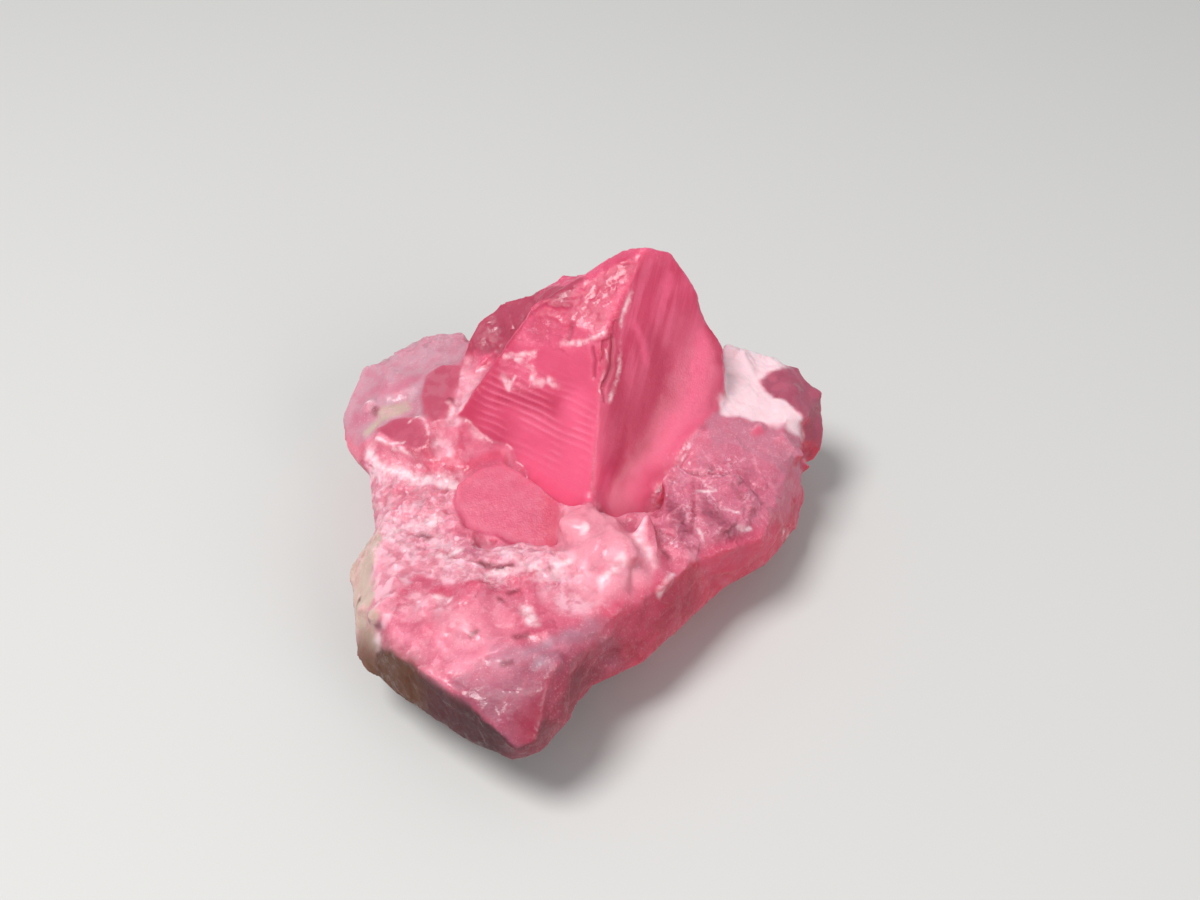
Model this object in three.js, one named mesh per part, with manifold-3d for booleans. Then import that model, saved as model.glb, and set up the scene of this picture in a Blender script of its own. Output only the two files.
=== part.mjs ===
// A hand specimen of rhodochrosite, about 18 mm across: one tall raspberry-pink crystal
// standing on the broken pink mass that it grew from. It is one piece of mineral, so it is
// one solid: the crystal, the lobes around its foot, the flat cleavage facets, the blades
// and the crumbs of cleaved rhombs are all joined into one body.
//
// Millimetres, +Z up. -Y is the front, where the mass runs out to a point, and the tall
// crystal leans back towards +Y. The corners below are measured from the line on which the
// crystal's ridge comes down. The finished solid is then moved so that it rests on its flat
// broken face at Z = 0 with the origin in the middle of its outline.
import * as THREE from "three";
import { ConvexGeometry } from "three/addons/geometries/ConvexGeometry.js";
import { MeshSurfaceSampler } from "three/addons/math/MeshSurfaceSampler.js";
import { mergeVertices } from "three/addons/utils/BufferGeometryUtils.js";
import Module from "manifold-3d";

const wasm = await Module();
wasm.setup();

// Driving dimensions
const CRYSTAL_TOP = 10.8; // height of the tall crystal's tip over the resting face
const SHOULDER = 8.8; // height of the edge where its rough top meets its two front faces
const LOBE_TOP = 4.5; // height of the mass's upper surface around the crystal
const RIM = 2.4; // height at which the mass is widest; it is undercut below this
const FOOT = 0; // height of the resting face
const FOOT_CLEAR = 0.7; // nothing small is added or chipped off below this height
const CLEAVAGE_ANGLE = THREE.MathUtils.degToRad(107); // between two faces of a cleaved rhomb
const SEED = 77; // the arrangement of the crumbs and chips
const PROUD = 0.4; // the furthest that any corner of a crumb stands out of the mass
const SHARD_POINTS = 10; // corners thrown on a ball to make an irregular shard
const SHARD_FLATNESS = 0.67; // a shard's thickness over its width
const SPIN_SPREAD = 0.15; // how far the rhombs of one spread turn from each other, in radians
const CLEAN_COSINE = 0.96; // how closely a spot faces along a clean face to count as part of it
const TOP_SLOPE = 0.35; // upward part of the normal that tells the tops from the flanks
const LOBES_BELOW = 5.8; // everything higher belongs to the tall crystal
const TOP_ABOVE = 8.2; // upward faces above this height are the tall crystal's rough top
const CHIPPED_BELOW = 3.2; // the front and side flanks are chipped below this height
const BACK_BEYOND = 3.0; // the flanks behind this Y are broken rough
const WELD = 1e-4; // corners closer than this are one

// Corner lists of the large blocks with flat faces
const blocks = {
  // Its two front faces meet in a ridge that leans back, and its rough top slopes to the left
  tallCrystal: [
    [0.7, 3.3, SHOULDER],
    [0.05, -1.8, RIM - 0.4],
    [-1.8, 4.9, SHOULDER + 0.1],
    [-4.9, 3.4, LOBE_TOP + 0.2],
    [-4.9, 1.6, RIM - 0.4],
    [2.2, 5.9, CRYSTAL_TOP],
    [1.4, 6.3, CRYSTAL_TOP - 0.4],
    [3.1, 6.3, CRYSTAL_TOP - 0.5],
    [4.1, 6.0, SHOULDER + 0.1],
    [4.2, 5.5, SHOULDER - 0.8],
    [4.6, 2.5, RIM + 0.6],
    [1.6, 7.7, SHOULDER + 0.4],
    [-1.6, 7.0, SHOULDER - 1.4],
    [-3.6, 7.0, RIM + 0.6],
    [1.0, 8.6, RIM + 0.6],
    [5.0, 7.2, RIM + 0.6],
  ],
  // The pale ledge down its right side, which turns up from the dark right face in a shallow
  // valley and ends in a short drop to the right lobe
  rightLedge: [
    [4.15, 5.8, 8.3],
    [3.75, 4.4, 6.85],
    [2.3, 2.3, 5.5],
    [1.2, 0.5, 4.0],
    [0.8, -0.4, 3.3],
    [5.0, 5.2, 7.1],
    [5.15, 4.6, 6.45],
    [4.75, 3.85, 5.85],
    [3.7, 2.35, 5.0],
    [2.65, 1.05, 4.15],
    [1.6, -0.4, 3.1],
    [5.5, 6.4, RIM + 0.6],
    [5.2, 4.0, RIM],
    [1.6, -1.2, RIM - 0.4],
    [4.4, 1.0, RIM - 0.4],
    [0.5, 2.0, RIM - 0.4],
  ],
  // The smooth foot that spreads from under its two front faces
  crystalFoot: [
    [-1.5, 0.6, 4.5],
    [-1.1, -1.0, 3.9],
    [-0.5, -1.3, 4.4],
    [0.2, -0.7, 4.4],
    [0.7, 0.0, 4.0],
    [-0.3, 0.6, 4.6],
    [-1.4, -1.2, RIM],
    [1.2, -0.8, RIM],
    [0.2, 1.6, RIM],
  ],
  // Three smaller crystals behind its left shoulder
  backCrystalLow: [
    [-4.4, 6.2, 6.2],
    [-3.9, 7.0, 6.8],
    [-3.1, 7.4, 7.2],
    [-3.0, 6.0, 6.6],
    [-4.3, 6.3, 5.8],
    [-3.1, 5.5, 6.0],
    [-5.0, 6.2, RIM + 0.6],
    [-4.4, 8.2, RIM + 0.6],
    [-2.0, 6.4, RIM + 0.6],
  ],
  backCrystalMiddle: [
    [-3.2, 7.4, 7.3],
    [-2.2, 7.2, 7.8],
    [-1.6, 6.6, 7.9],
    [-2.7, 6.0, 7.1],
    [-2.6, 8.6, RIM + 0.6],
    [-0.8, 7.4, RIM + 0.6],
    [-3.6, 6.0, RIM + 0.6],
  ],
  backCrystalHigh: [
    [-1.9, 7.2, 7.9],
    [-0.7, 7.6, 8.3],
    [0.4, 7.5, 8.6],
    [-0.6, 6.2, 8.9],
    [-1.6, 6.0, 8.3],
    [-1.4, 8.7, RIM + 0.6],
    [1.2, 8.8, RIM + 0.6],
    [0.0, 6.0, RIM + 0.6],
  ],
  // The dome of the left lobe
  leftLobe: [
    [-9.2, 5.0, 3.6],
    [-8.9, 6.4, 4.1],
    [-8.1, 7.4, LOBE_TOP],
    [-6.0, 8.3, 5.3],
    [-4.7, 8.2, 5.6],
    [-8.9, 3.8, 3.2],
    [-7.9, 2.4, 3.3],
    [-7.9, 3.1, 4.0],
    [-8.0, 4.9, 4.5],
    [-6.7, 2.3, 3.9],
    [-5.3, 2.2, 4.4],
    [-4.0, 5.5, 5.4],
    [-4.4, 1.4, LOBE_TOP],
    [-8.4, 5.2, RIM - 0.4],
    [-7.4, 3.0, RIM - 0.8],
    [-7.0, 7.6, RIM - 0.2],
    [-4.5, 8.4, RIM - 0.8],
    [-4.0, 2.0, RIM - 1.4],
  ],
  // The long flat facet on the left lobe
  leftLongFacet: [
    [-5.7, 6.1, 5.4],
    [-4.7, 6.0, 5.6],
    [-4.8, 4.3, 5.3],
    [-5.2, 3.0, 5.0],
    [-5.6, 2.7, 4.8],
    [-6.1, 5.2, 5.2],
    [-6.0, 6.4, RIM],
    [-4.2, 6.2, RIM],
    [-4.6, 2.8, RIM],
    [-6.4, 3.4, RIM],
  ],
  // The triangular flat facet below it, with its sharp pale edge
  leftTriangleFacet: [
    [-7.7, 3.1, 4.4],
    [-7.0, 3.7, 4.75],
    [-6.2, 3.6, 4.95],
    [-5.4, 2.7, 4.85],
    [-5.7, 2.3, 4.7],
    [-6.5, 2.3, 4.55],
    [-7.3, 3.2, RIM],
    [-5.6, 2.6, RIM],
    [-5.8, 4.0, RIM],
  ],
  // The pale ground that joins the left lobe to the tall crystal's left edge
  leftShoulder: [
    [-5.1, 2.6, LOBE_TOP + 0.1],
    [-5.0, 4.4, 5.2],
    [-4.8, 6.0, 5.55],
    [-4.0, 6.1, 5.7],
    [-3.2, 5.9, 6.1],
    [-3.6, 4.6, 5.5],
    [-4.3, 2.5, LOBE_TOP],
    [-5.0, 2.0, RIM],
    [-3.4, 2.4, RIM],
    [-5.0, 6.6, RIM],
    [-3.2, 6.4, RIM],
  ],
  // The strip that steps down from the triangular facet towards the front
  leftStrip: [
    [-8.0, 3.2, 3.9],
    [-7.4, 2.6, 4.05],
    [-6.6, 2.1, 4.1],
    [-4.6, 1.7, 4.3],
    [-6.7, 1.7, 3.7],
    [-5.7, 1.5, 3.9],
    [-4.5, 1.3, 4.1],
    [-7.3, 2.1, 3.5],
    [-7.6, 3.0, RIM - 0.4],
    [-5.0, 1.2, RIM - 0.4],
    [-4.6, 3.0, RIM - 0.4],
  ],
  // The saddle of broken pale mineral between the left lobe and the lower lobe
  leftSaddle: [
    [-7.9, 2.5, 3.2],
    [-7.65, 1.4, 3.0],
    [-7.3, 0.8, 2.9],
    [-7.4, 0.1, 2.8],
    [-4.3, 0.8, 4.1],
    [-4.5, -0.8, 4.1],
    [-5.8, 1.3, 3.9],
    [-6.5, 0.5, 3.7],
    [-5.9, -1.1, 4.0],
    [-6.6, -1.0, 3.9],
    [-7.2, 1.2, RIM - 0.8],
    [-4.6, 0.4, RIM - 1.4],
  ],
  // The smooth rhomb face in front of the tall crystal's foot, and the small deep facet above it
  frontRhomb: [
    [-4.55, -0.3, 4.27],
    [-4.4, 0.55, 4.54],
    [-3.6, 1.1, 4.76],
    [-2.8, 1.2, 4.84],
    [-1.45, 0.2, 4.6],
    [-0.6, -0.6, 4.38],
    [-0.65, -1.35, 4.14],
    [-0.9, -2.35, 3.82],
    [-3.0, -1.55, 3.97],
    [-4.0, -1.3, 3.99],
    [-5.0, 0.8, RIM - 0.4],
    [-4.6, -2.0, RIM - 0.4],
    [0.0, -2.6, RIM - 0.4],
    [0.0, 1.6, RIM - 0.4],
  ],
  deepFacet: [
    [-4.6, 1.3, 4.2],
    [-4.5, 2.4, LOBE_TOP],
    [-3.8, 2.2, 4.65],
    [-2.8, 1.9, 4.8],
    [-2.9, 1.2, 4.75],
    [-4.7, 1.6, RIM],
    [-2.8, 2.4, RIM],
    [-3.0, 1.0, RIM],
  ],
  // The lower lobe: its left shoulder, the wedge that runs out to the front and its right flank
  lowerLeft: [
    [-7.3, -0.2, 3.0],
    [-6.9, -0.6, 3.9],
    [-6.6, -4.0, 4.2],
    [-7.8, -1.5, 2.9],
    [-7.8, -3.2, RIM + 0.2],
    [-7.5, -4.9, RIM + 0.1],
    [-7.0, -5.8, RIM],
    [-5.8, -6.6, 4.0],
    [-5.8, -7.1, RIM],
    [-3.6, -4.5, LOBE_TOP + 0.1],
    [-3.8, -0.6, 4.2],
    [-6.4, 1.0, 3.5],
    [-6.2, -0.4, RIM - 1],
    [-6.4, -4.6, RIM - 1.2],
    [-4.0, -6.0, RIM - 1],
    [-3.0, 1.6, RIM - 1.4],
  ],
  lowerWedge: [
    [-5.8, -6.6, 4.0],
    [-5.3, -7.0, 4.1],
    [-3.5, -8.4, 4.1],
    [-2.5, -9.3, 3.7],
    [-1.9, -9.7, 3.2],
    [-1.3, -9.5, 3.4],
    [-1.0, -8.4, LOBE_TOP],
    [-0.4, -6.6, LOBE_TOP + 0.3],
    [-3.6, -4.6, LOBE_TOP + 0.2],
    [-5.8, -7.1, RIM],
    [-4.2, -8.1, RIM],
    [-3.1, -9.1, RIM + 0.1],
    [-2.0, -9.7, RIM + 0.2],
    [-1.2, -9.4, RIM + 0.3],
    [-0.3, -8.1, RIM + 0.2],
    [0.1, -6.8, RIM + 0.2],
    [-4.0, -5.6, RIM - 1.5],
    [-1.0, -6.0, RIM - 1.5],
  ],
  lowerFlank: [
    [-0.4, -6.6, LOBE_TOP + 0.2],
    [0.3, -6.3, 4.4],
    [2.2, -4.4, 4.3],
    [3.9, -2.7, 4.1],
    [1.9, -5.8, RIM],
    [0.0, -7.0, RIM + 0.2],
    [3.6, -3.7, RIM - 0.2],
    [4.8, -2.2, RIM - 0.4],
    [3.4, -0.4, 4.4],
    [-2.6, -2.2, 4.1],
    [-4.2, -3.6, LOBE_TOP],
    [-2.0, -5.0, RIM - 1.6],
    [1.6, -4.4, RIM - 1.6],
    [3.6, -1.8, RIM - 1.6],
    [-3.0, -1.0, RIM - 1.6],
  ],
  // The pale vein that stands up across the lower lobe
  lowerVein: [
    [-3.3, -3.2, LOBE_TOP + 0.1],
    [-2.4, -3.0, LOBE_TOP + 0.35],
    [-0.4, -3.1, LOBE_TOP + 0.4],
    [0.2, -3.6, LOBE_TOP + 0.35],
    [-1.2, -3.8, LOBE_TOP + 0.3],
    [-3.0, -3.8, LOBE_TOP + 0.1],
    [-3.0, -3.4, RIM],
    [0.2, -3.4, RIM],
  ],
  // The swelling between the tall crystal's foot and the lower lobe
  frontSwelling: [
    [-0.7, -1.6, 4.4],
    [-0.5, -1.0, 4.7],
    [0.1, -0.9, 5.0],
    [0.7, -1.6, 5.1],
    [1.1, -2.6, 5.1],
    [1.7, -3.3, 4.9],
    [1.3, -4.4, 4.75],
    [0.4, -4.3, 4.9],
    [-0.4, -3.4, 4.85],
    [-0.9, -1.8, RIM],
    [0.3, -0.6, RIM],
    [2.0, -3.4, RIM],
    [1.2, -5.0, 3.4],
    [-1.0, -4.2, RIM],
  ],
  // The right lobe, its rough raised plate and its far end
  rightLobe: [
    [5.4, 7.4, 5.5],
    [7.1, 7.1, 5.1],
    [8.1, 6.3, 4.7],
    [8.0, 3.7, 4.2],
    [7.0, 2.7, LOBE_TOP + 0.1],
    [6.2, -1.2, 3.6],
    [4.1, -2.5, 4.0],
    [3.0, -0.5, LOBE_TOP + 0.1],
    [4.6, 3.2, 5.35],
    [8.2, 2.4, RIM - 0.5],
    [7.8, 1.1, RIM - 0.7],
    [7.0, 0.0, RIM - 0.7],
    [6.4, -0.9, RIM - 0.6],
    [4.8, -2.2, RIM - 0.4],
    [3.6, -2.6, RIM - 0.4],
    [3.0, 2.0, RIM - 1.6],
    [6.2, 2.2, RIM - 1.7],
    [5.6, 7.6, RIM - 0.8],
    [7.2, 5.6, RIM - 1.2],
  ],
  rightPlate: [
    [2.8, 0.1, 5.0],
    [3.7, 0.3, 5.15],
    [5.4, 0.6, 4.95],
    [6.1, 0.1, 4.4],
    [5.6, -1.1, 4.2],
    [3.9, -2.2, 4.35],
    [2.6, -2.0, 4.75],
    [3.0, -1.0, RIM],
    [5.8, -0.4, RIM],
  ],
  rightEnd: [
    [6.8, 7.6, 4.6],
    [8.2, 6.9, 4.6],
    [9.0, 5.8, 4.0],
    [9.1, 4.7, 3.4],
    [8.9, 3.8, RIM - 0.1],
    [8.3, 3.9, RIM - 0.3],
    [8.0, 4.2, 4.2],
    [6.6, 6.0, 4.9],
    [7.4, 7.6, RIM],
    [8.2, 5.4, RIM - 0.4],
    [6.6, 5.0, RIM - 0.4],
  ],
  // Two blades that stand at the edge of the right lobe, the front one pale and sharp
  upperBlade: [
    [3.2, 0.6, 5.5],
    [2.7, 0.1, 5.1],
    [3.8, 0.2, 5.1],
    [3.5, 1.3, RIM],
    [2.6, 0.6, RIM],
    [3.8, 0.0, RIM],
  ],
  frontBlade: [
    [2.1, -1.8, 5.4],
    [1.7, -2.4, 5.0],
    [2.5, -2.5, 4.9],
    [2.3, -1.7, 5.3],
    [2.5, -3.3, 4.6],
    [1.8, -1.8, RIM],
    [2.5, -3.2, RIM],
    [1.6, -2.8, RIM],
  ],
  // The back of the mass, a stair of broken faces
  backStepHigh: [
    [0.4, 8.6, 6.4],
    [3.6, 8.2, 6.0],
    [4.2, 6.8, 6.4],
    [0.2, 6.8, 7.0],
    [0.4, 9.0, RIM],
    [4.0, 8.6, RIM],
    [4.6, 6.6, RIM],
  ],
  backStepLow: [
    [-5.4, 8.4, 4.6],
    [-0.2, 9.0, 4.4],
    [2.8, 9.0, 4.1],
    [5.9, 7.7, 4.6],
    [-4.6, 6.6, 5.0],
    [5.2, 6.0, 5.0],
    [-5.3, 8.1, RIM - 0.7],
    [-4.0, 7.4, RIM - 1.6],
    [2.4, 8.2, RIM - 1.6],
    [2.6, 8.9, RIM - 0.4],
    [5.9, 7.5, RIM - 0.7],
  ],
  // The undercut root of the mass, which ends in the resting face
  root: [
    [-5.0, -3.4, FOOT],
    [-5.2, 2.2, FOOT],
    [-3.0, 5.6, FOOT],
    [2.4, 6.0, FOOT],
    [5.2, 3.6, FOOT],
    [4.4, -0.4, FOOT],
    [0.8, -4.4, FOOT],
    [-2.6, -5.2, FOOT],
    [-6.6, -3.8, RIM],
    [-6.8, 3.4, RIM],
    [-3.6, 7.8, RIM + 0.8],
    [2.6, 8.8, RIM + 0.6],
    [6.8, 5.0, RIM],
    [6.0, -0.6, RIM],
    [1.2, -5.4, RIM],
    [-3.4, -6.6, RIM],
  ],
};

// Faces that stay clean: where they are, which way they face and how far they reach
const cleanFaces = [
  // The tall crystal's left front face
  { at: [-1.4, 2.3, 6.2], normal: [-0.456, -0.696, 0.554], reach: 4.4 },
  // Its right front face
  { at: [2.2, 3.2, 7.0], normal: [0.55, -0.691, 0.469], reach: 4.2 },
  // Its ledge
  { at: [3.6, 3.0, 5.8], normal: [0.28, -0.67, 0.69], reach: 3.6 },
  // The rhomb in front of it
  { at: [-2.5, -0.3, 4.4], normal: [-0.05, -0.3, 0.95], reach: 2.3 },
  // The long facet on the left lobe
  { at: [-5.3, 4.6, 5.3], normal: [-0.2, -0.15, 0.97], reach: 1.7 },
  // The triangular facet
  { at: [-6.5, 3.0, 4.7], normal: [-0.3, -0.2, 0.94], reach: 1.2 },
];

// Each spread of crumbs or chips: how many, their lengths, how far they stand proud of the
// surface or bite into it, and where they are. Rhombs follow a cleavage plane; shards are
// irregular. Chips are cut out before the crumbs are added.
const crumbSpreads = [
  // Shards on the lobes
  {
    count: 60,
    length: [1.6, 3.4],
    offset: [0.12, 0.34],
    covers: (place, normal) => normal.z > TOP_SLOPE && place.z < LOBES_BELOW,
  },
  // Rhombs on the lobes
  {
    count: 26,
    length: [0.5, 1.2],
    offset: [0.1, 0.26],
    plane: [0.22, -0.12, 0.97],
    spin: 0.5,
    covers: (place, normal) => normal.z > TOP_SLOPE && place.z < LOBES_BELOW,
  },
  // Rhombs on the crystal's top
  {
    count: 10,
    length: [0.5, 1.1],
    offset: [0.06, 0.18],
    plane: [-0.05, -0.45, 0.89],
    spin: 1.9,
    covers: (place, normal) => normal.z > TOP_SLOPE && place.z > TOP_ABOVE,
  },
  // Steps on the flanks and the back
  {
    count: 44,
    length: [1.2, 2.8],
    offset: [0.15, 0.42],
    plane: [0.5, 0.6, 0.62],
    spin: 1.1,
    covers: (place, normal) =>
      normal.z < TOP_SLOPE &&
      place.z < LOBES_BELOW &&
      (place.y > BACK_BEYOND || place.z < RIM),
  },
];
const chipSpreads = [
  // Pits in the lobes
  {
    count: 18,
    length: [0.6, 1.2],
    offset: [0.1, 0.24],
    covers: (place, normal) => normal.z > TOP_SLOPE && place.z < LOBES_BELOW,
  },
  // Cleaved corners on the flanks
  {
    count: 26,
    length: [1.0, 2.2],
    offset: [0.15, 0.42],
    plane: [-0.6, 0.5, 0.62],
    spin: 0.2,
    covers: (place, normal) =>
      normal.z < TOP_SLOPE &&
      place.z < LOBES_BELOW &&
      (place.y > BACK_BEYOND || place.z < CHIPPED_BELOW),
  },
];

// Seeded random numbers, so that the crumbs always lie in the same places
function seeded(seed) {
  let state = seed;
  return () => {
    state = (state * 1664525 + 1013904223) % 4294967296;
    return state / 4294967296;
  };
}
const random = seeded(SEED);
const between = ([low, high]) => low + (high - low) * random();

// A three.js geometry as a solid that can be joined and cut
function solid(geometry) {
  const bare = geometry.clone();
  bare.deleteAttribute("normal");
  bare.deleteAttribute("uv");
  const merged = mergeVertices(bare, WELD);
  const vertProperties = merged.attributes.position.array;
  const triVerts = new Uint32Array(merged.index.array);
  return new wasm.Manifold(new wasm.Mesh({ numProp: 3, vertProperties, triVerts }));
}

// The outside of a solid as a flat-shaded geometry. Small pockets that the blocks seal
// between them are filled: only the shell with the most triangles is kept.
function outside(made) {
  const mesh = made.getMesh();
  const corners = mesh.triVerts;
  const parent = Array.from({ length: mesh.vertProperties.length / 3 }, (_, i) => i);
  const root = (i) => {
    while (parent[i] !== i) i = parent[i] = parent[parent[i]];
    return i;
  };
  for (let i = 0; i < corners.length; i += 3) {
    parent[root(corners[i + 1])] = root(corners[i]);
    parent[root(corners[i + 2])] = root(corners[i]);
  }
  const shells = new Map();
  for (let i = 0; i < corners.length; i += 3) {
    const key = root(corners[i]);
    if (!shells.has(key)) shells.set(key, []);
    shells.get(key).push(corners[i], corners[i + 1], corners[i + 2]);
  }
  const largest = [...shells.values()].sort((a, b) => b.length - a.length)[0];
  const geometry = new THREE.BufferGeometry();
  geometry.setAttribute("position", new THREE.BufferAttribute(mesh.vertProperties, 3));
  geometry.setIndex(largest);
  const faceted = geometry.toNonIndexed();
  faceted.computeVertexNormals();
  return faceted;
}

// A block with flat faces around its outer corners
function block(corners) {
  return new ConvexGeometry(corners.map((corner) => new THREE.Vector3(...corner)));
}

// The three edge directions of a cleaved rhomb, with one of its faces along the given plane
function cleavageEdges(plane, spin) {
  const lean = Math.asin(Math.sqrt((1 + Math.cos(CLEAVAGE_ANGLE)) / 1.5));
  const normals = [0, 1, 2].map((side) =>
    new THREE.Vector3().setFromSphericalCoords(1, lean, (side * 2 * Math.PI) / 3),
  );
  const facing = new THREE.Vector3(...plane).normalize();
  const onto = new THREE.Quaternion().setFromUnitVectors(normals[0], facing);
  const turn = new THREE.Quaternion().setFromAxisAngle(facing, spin);
  for (const normal of normals) normal.applyQuaternion(onto).applyQuaternion(turn);
  return [0, 1, 2].map((side) =>
    normals[side].clone().cross(normals[(side + 1) % 3]).normalize(),
  );
}

// The corners of a cleaved rhomb around its own centre
function rhombCorners(spread) {
  const edges = cleavageEdges(spread.plane, spread.spin + between([-SPIN_SPREAD, SPIN_SPREAD]));
  for (const edge of edges) edge.multiplyScalar(between(spread.length) / 2);
  const corners = [];
  for (const a of [-1, 1])
    for (const b of [-1, 1])
      for (const c of [-1, 1])
        corners.push(
          new THREE.Vector3()
            .addScaledVector(edges[0], a)
            .addScaledVector(edges[1], b)
            .addScaledVector(edges[2], c),
        );
  return corners;
}

// The corners of an irregular shard, flatter than it is wide, around its own centre
function shardCorners(spread) {
  const halves = new THREE.Vector3(1, 1, SHARD_FLATNESS);
  halves.multiply(new THREE.Vector3().fromArray([0, 1, 2].map(() => between(spread.length) / 2)));
  return Array.from({ length: SHARD_POINTS }, () =>
    new THREE.Vector3()
      .setFromSphericalCoords(1, Math.acos(between([-1, 1])), between([0, 2 * Math.PI]))
      .multiply(halves),
  );
}

function isClean(point, normal) {
  return cleanFaces.some(
    (face) =>
      point.distanceTo(new THREE.Vector3(...face.at)) < face.reach &&
      normal.dot(new THREE.Vector3(...face.normal).normalize()) > CLEAN_COSINE,
  );
}

// How far a point is outside a body, or less than nothing where it is inside
function heightOver(triangles, point) {
  const nearest = new THREE.Vector3();
  const facing = new THREE.Vector3();
  let best = Infinity;
  let height = 0;
  for (const triangle of triangles) {
    triangle.closestPointToPoint(point, nearest);
    const distance = point.distanceTo(nearest);
    if (distance >= best) continue;
    best = distance;
    triangle.getNormal(facing);
    height = Math.sign(point.clone().sub(nearest).dot(facing)) * distance;
  }
  return height;
}

function trianglesOf(geometry) {
  const { position } = geometry.attributes;
  return Array.from({ length: position.count / 3 }, (_, i) =>
    new THREE.Triangle().setFromAttributeAndIndices(position, 3 * i, 3 * i + 1, 3 * i + 2),
  );
}

// One spread over a body's surface. A crumb is sunk until it stands out by its offset, and a
// chip is raised until it bites in by it.
function scatter(geometry, spread, isChip) {
  const sampler = new MeshSurfaceSampler(new THREE.Mesh(geometry));
  sampler.setRandomGenerator(random).build();
  const triangles = trianglesOf(geometry);
  const pieces = [];
  const point = new THREE.Vector3();
  const normal = new THREE.Vector3();
  while (pieces.length < spread.count) {
    sampler.sample(point, normal);
    if (isClean(point, normal) || !spread.covers(point, normal)) continue;
    const corners = spread.plane ? rhombCorners(spread) : shardCorners(spread);
    const heights = corners.map((corner) => corner.dot(normal));
    const offset = between(spread.offset);
    const shift = isChip ? -offset - Math.min(...heights) : offset - Math.max(...heights);
    for (const corner of corners) corner.addScaledVector(normal, shift).add(point);
    if (corners.some((corner) => corner.z < FOOT_CLEAR)) continue;
    if (!isChip && corners.some((corner) => heightOver(triangles, corner) > PROUD)) continue;
    pieces.push(solid(new ConvexGeometry(corners)));
  }
  return pieces;
}

// The whole specimen: the blocks first, then the chips out of them and the crumbs on them
function specimenGeometry() {
  let mass = Object.values(blocks)
    .map((corners) => solid(block(corners)))
    .reduce((body, next) => body.add(next));
  const bare = outside(mass);
  for (const spread of chipSpreads)
    for (const chip of scatter(bare, spread, true)) mass = mass.subtract(chip);
  for (const spread of crumbSpreads)
    for (const crumb of scatter(bare, spread, false)) mass = mass.add(crumb);
  return outside(mass);
}

const geometry = specimenGeometry();
geometry.computeBoundingBox();
const { min, max } = geometry.boundingBox;
geometry.translate(-(min.x + max.x) / 2, -(min.y + max.y) / 2, -min.z);

const pinkMineral = new THREE.MeshStandardMaterial({
  color: 0xd9607f,
  roughness: 0.3,
  metalness: 0,
});
const rhodochrosite = new THREE.Mesh(geometry, pinkMineral);
rhodochrosite.name = "rhodochrosite_crystal";

const specimen = new THREE.Group();
specimen.add(rhodochrosite);

export default specimen;
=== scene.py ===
"""A hand specimen of rhodochrosite: the fine surface of its crystals and of the mass under them.

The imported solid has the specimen's form at its real size. This script lays a skin over it with
a point about every tenth of a millimetre, closes the solid's narrow slits, and carves the skin as
the mineral grows and breaks. Then it marks where the skin is gemmy, chalky, stained or veiled,
and gives it a translucent pink material.

Lengths are in millimetres until the skin is finished. Places are measured as the solid's own
corners are: from the line on which the tall crystal's ridge comes down, with +X to the right,
-Y to the front and +Z up from the resting face.
"""

import itertools
import math

import bmesh
import bpy
import numpy as np
from mathutils import Matrix, Vector


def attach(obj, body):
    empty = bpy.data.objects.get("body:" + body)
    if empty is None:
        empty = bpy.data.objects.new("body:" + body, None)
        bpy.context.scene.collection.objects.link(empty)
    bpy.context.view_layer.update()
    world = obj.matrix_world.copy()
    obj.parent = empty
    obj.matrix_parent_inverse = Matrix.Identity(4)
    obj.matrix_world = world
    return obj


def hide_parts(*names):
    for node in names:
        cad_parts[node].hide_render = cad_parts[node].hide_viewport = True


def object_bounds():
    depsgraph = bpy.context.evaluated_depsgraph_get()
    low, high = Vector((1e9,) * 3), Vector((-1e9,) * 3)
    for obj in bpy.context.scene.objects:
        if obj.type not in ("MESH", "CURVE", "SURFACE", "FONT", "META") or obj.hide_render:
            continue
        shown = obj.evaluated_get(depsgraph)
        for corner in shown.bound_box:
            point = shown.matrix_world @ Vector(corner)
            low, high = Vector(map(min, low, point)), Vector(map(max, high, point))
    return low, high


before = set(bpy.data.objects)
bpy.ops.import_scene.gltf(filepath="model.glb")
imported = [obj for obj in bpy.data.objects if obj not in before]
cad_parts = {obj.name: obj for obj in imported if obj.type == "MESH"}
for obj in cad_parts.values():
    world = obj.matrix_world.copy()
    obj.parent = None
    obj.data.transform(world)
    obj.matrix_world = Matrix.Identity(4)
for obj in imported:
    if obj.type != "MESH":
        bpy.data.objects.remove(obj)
cad_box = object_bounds()

NODE = "rhodochrosite_crystal"
MM = 0.001
TIP = (2.2, 5.9, 10.8)  # the tall crystal's tip, the highest point of the specimen
GRID = 0.076  # distance between the skin's points before it is thinned
COARSE_GRID = 0.1  # the same for a first skin, which is swollen until slits in it close
CLOSED = 0.17  # half the width of the widest slit that closes
TRIANGLES = 196000  # the thinned skin's triangles, most of them where it is rough or marked
FOOT_BAND = 0.12  # the skin below this height lies on the resting face
STRIATION = 0.27  # distance from one growth line to the next on the crystal's left face
ACROSS_STRIAE = (0.32, 0.45, 0.83)
ACROSS_STREAKS = (0.80, 0.27, -0.54)
DOWN_THE_RIGHT_FACE = (-0.25, -0.67, -0.70)
STRIATED = [(-3.0, 3.3, 6.1), (-1.6, 2.4, 6.1), (-0.4, 1.6, 5.8)]  # the middle of the growth lines
STRIATED_WIDTH = 1.5
SIDE_BAND = 0.02  # the skin stays this far inside the solid's box
LOBES_BELOW = 5.8  # everything higher belongs to the crystals
ABOVE_UNDERCUT = (2.0, 2.3)  # the top side of the mass lies above the band between these heights
FLATTENED = (1, 1, 0.4)  # a mark's distance counts heights less than places in plan

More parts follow.
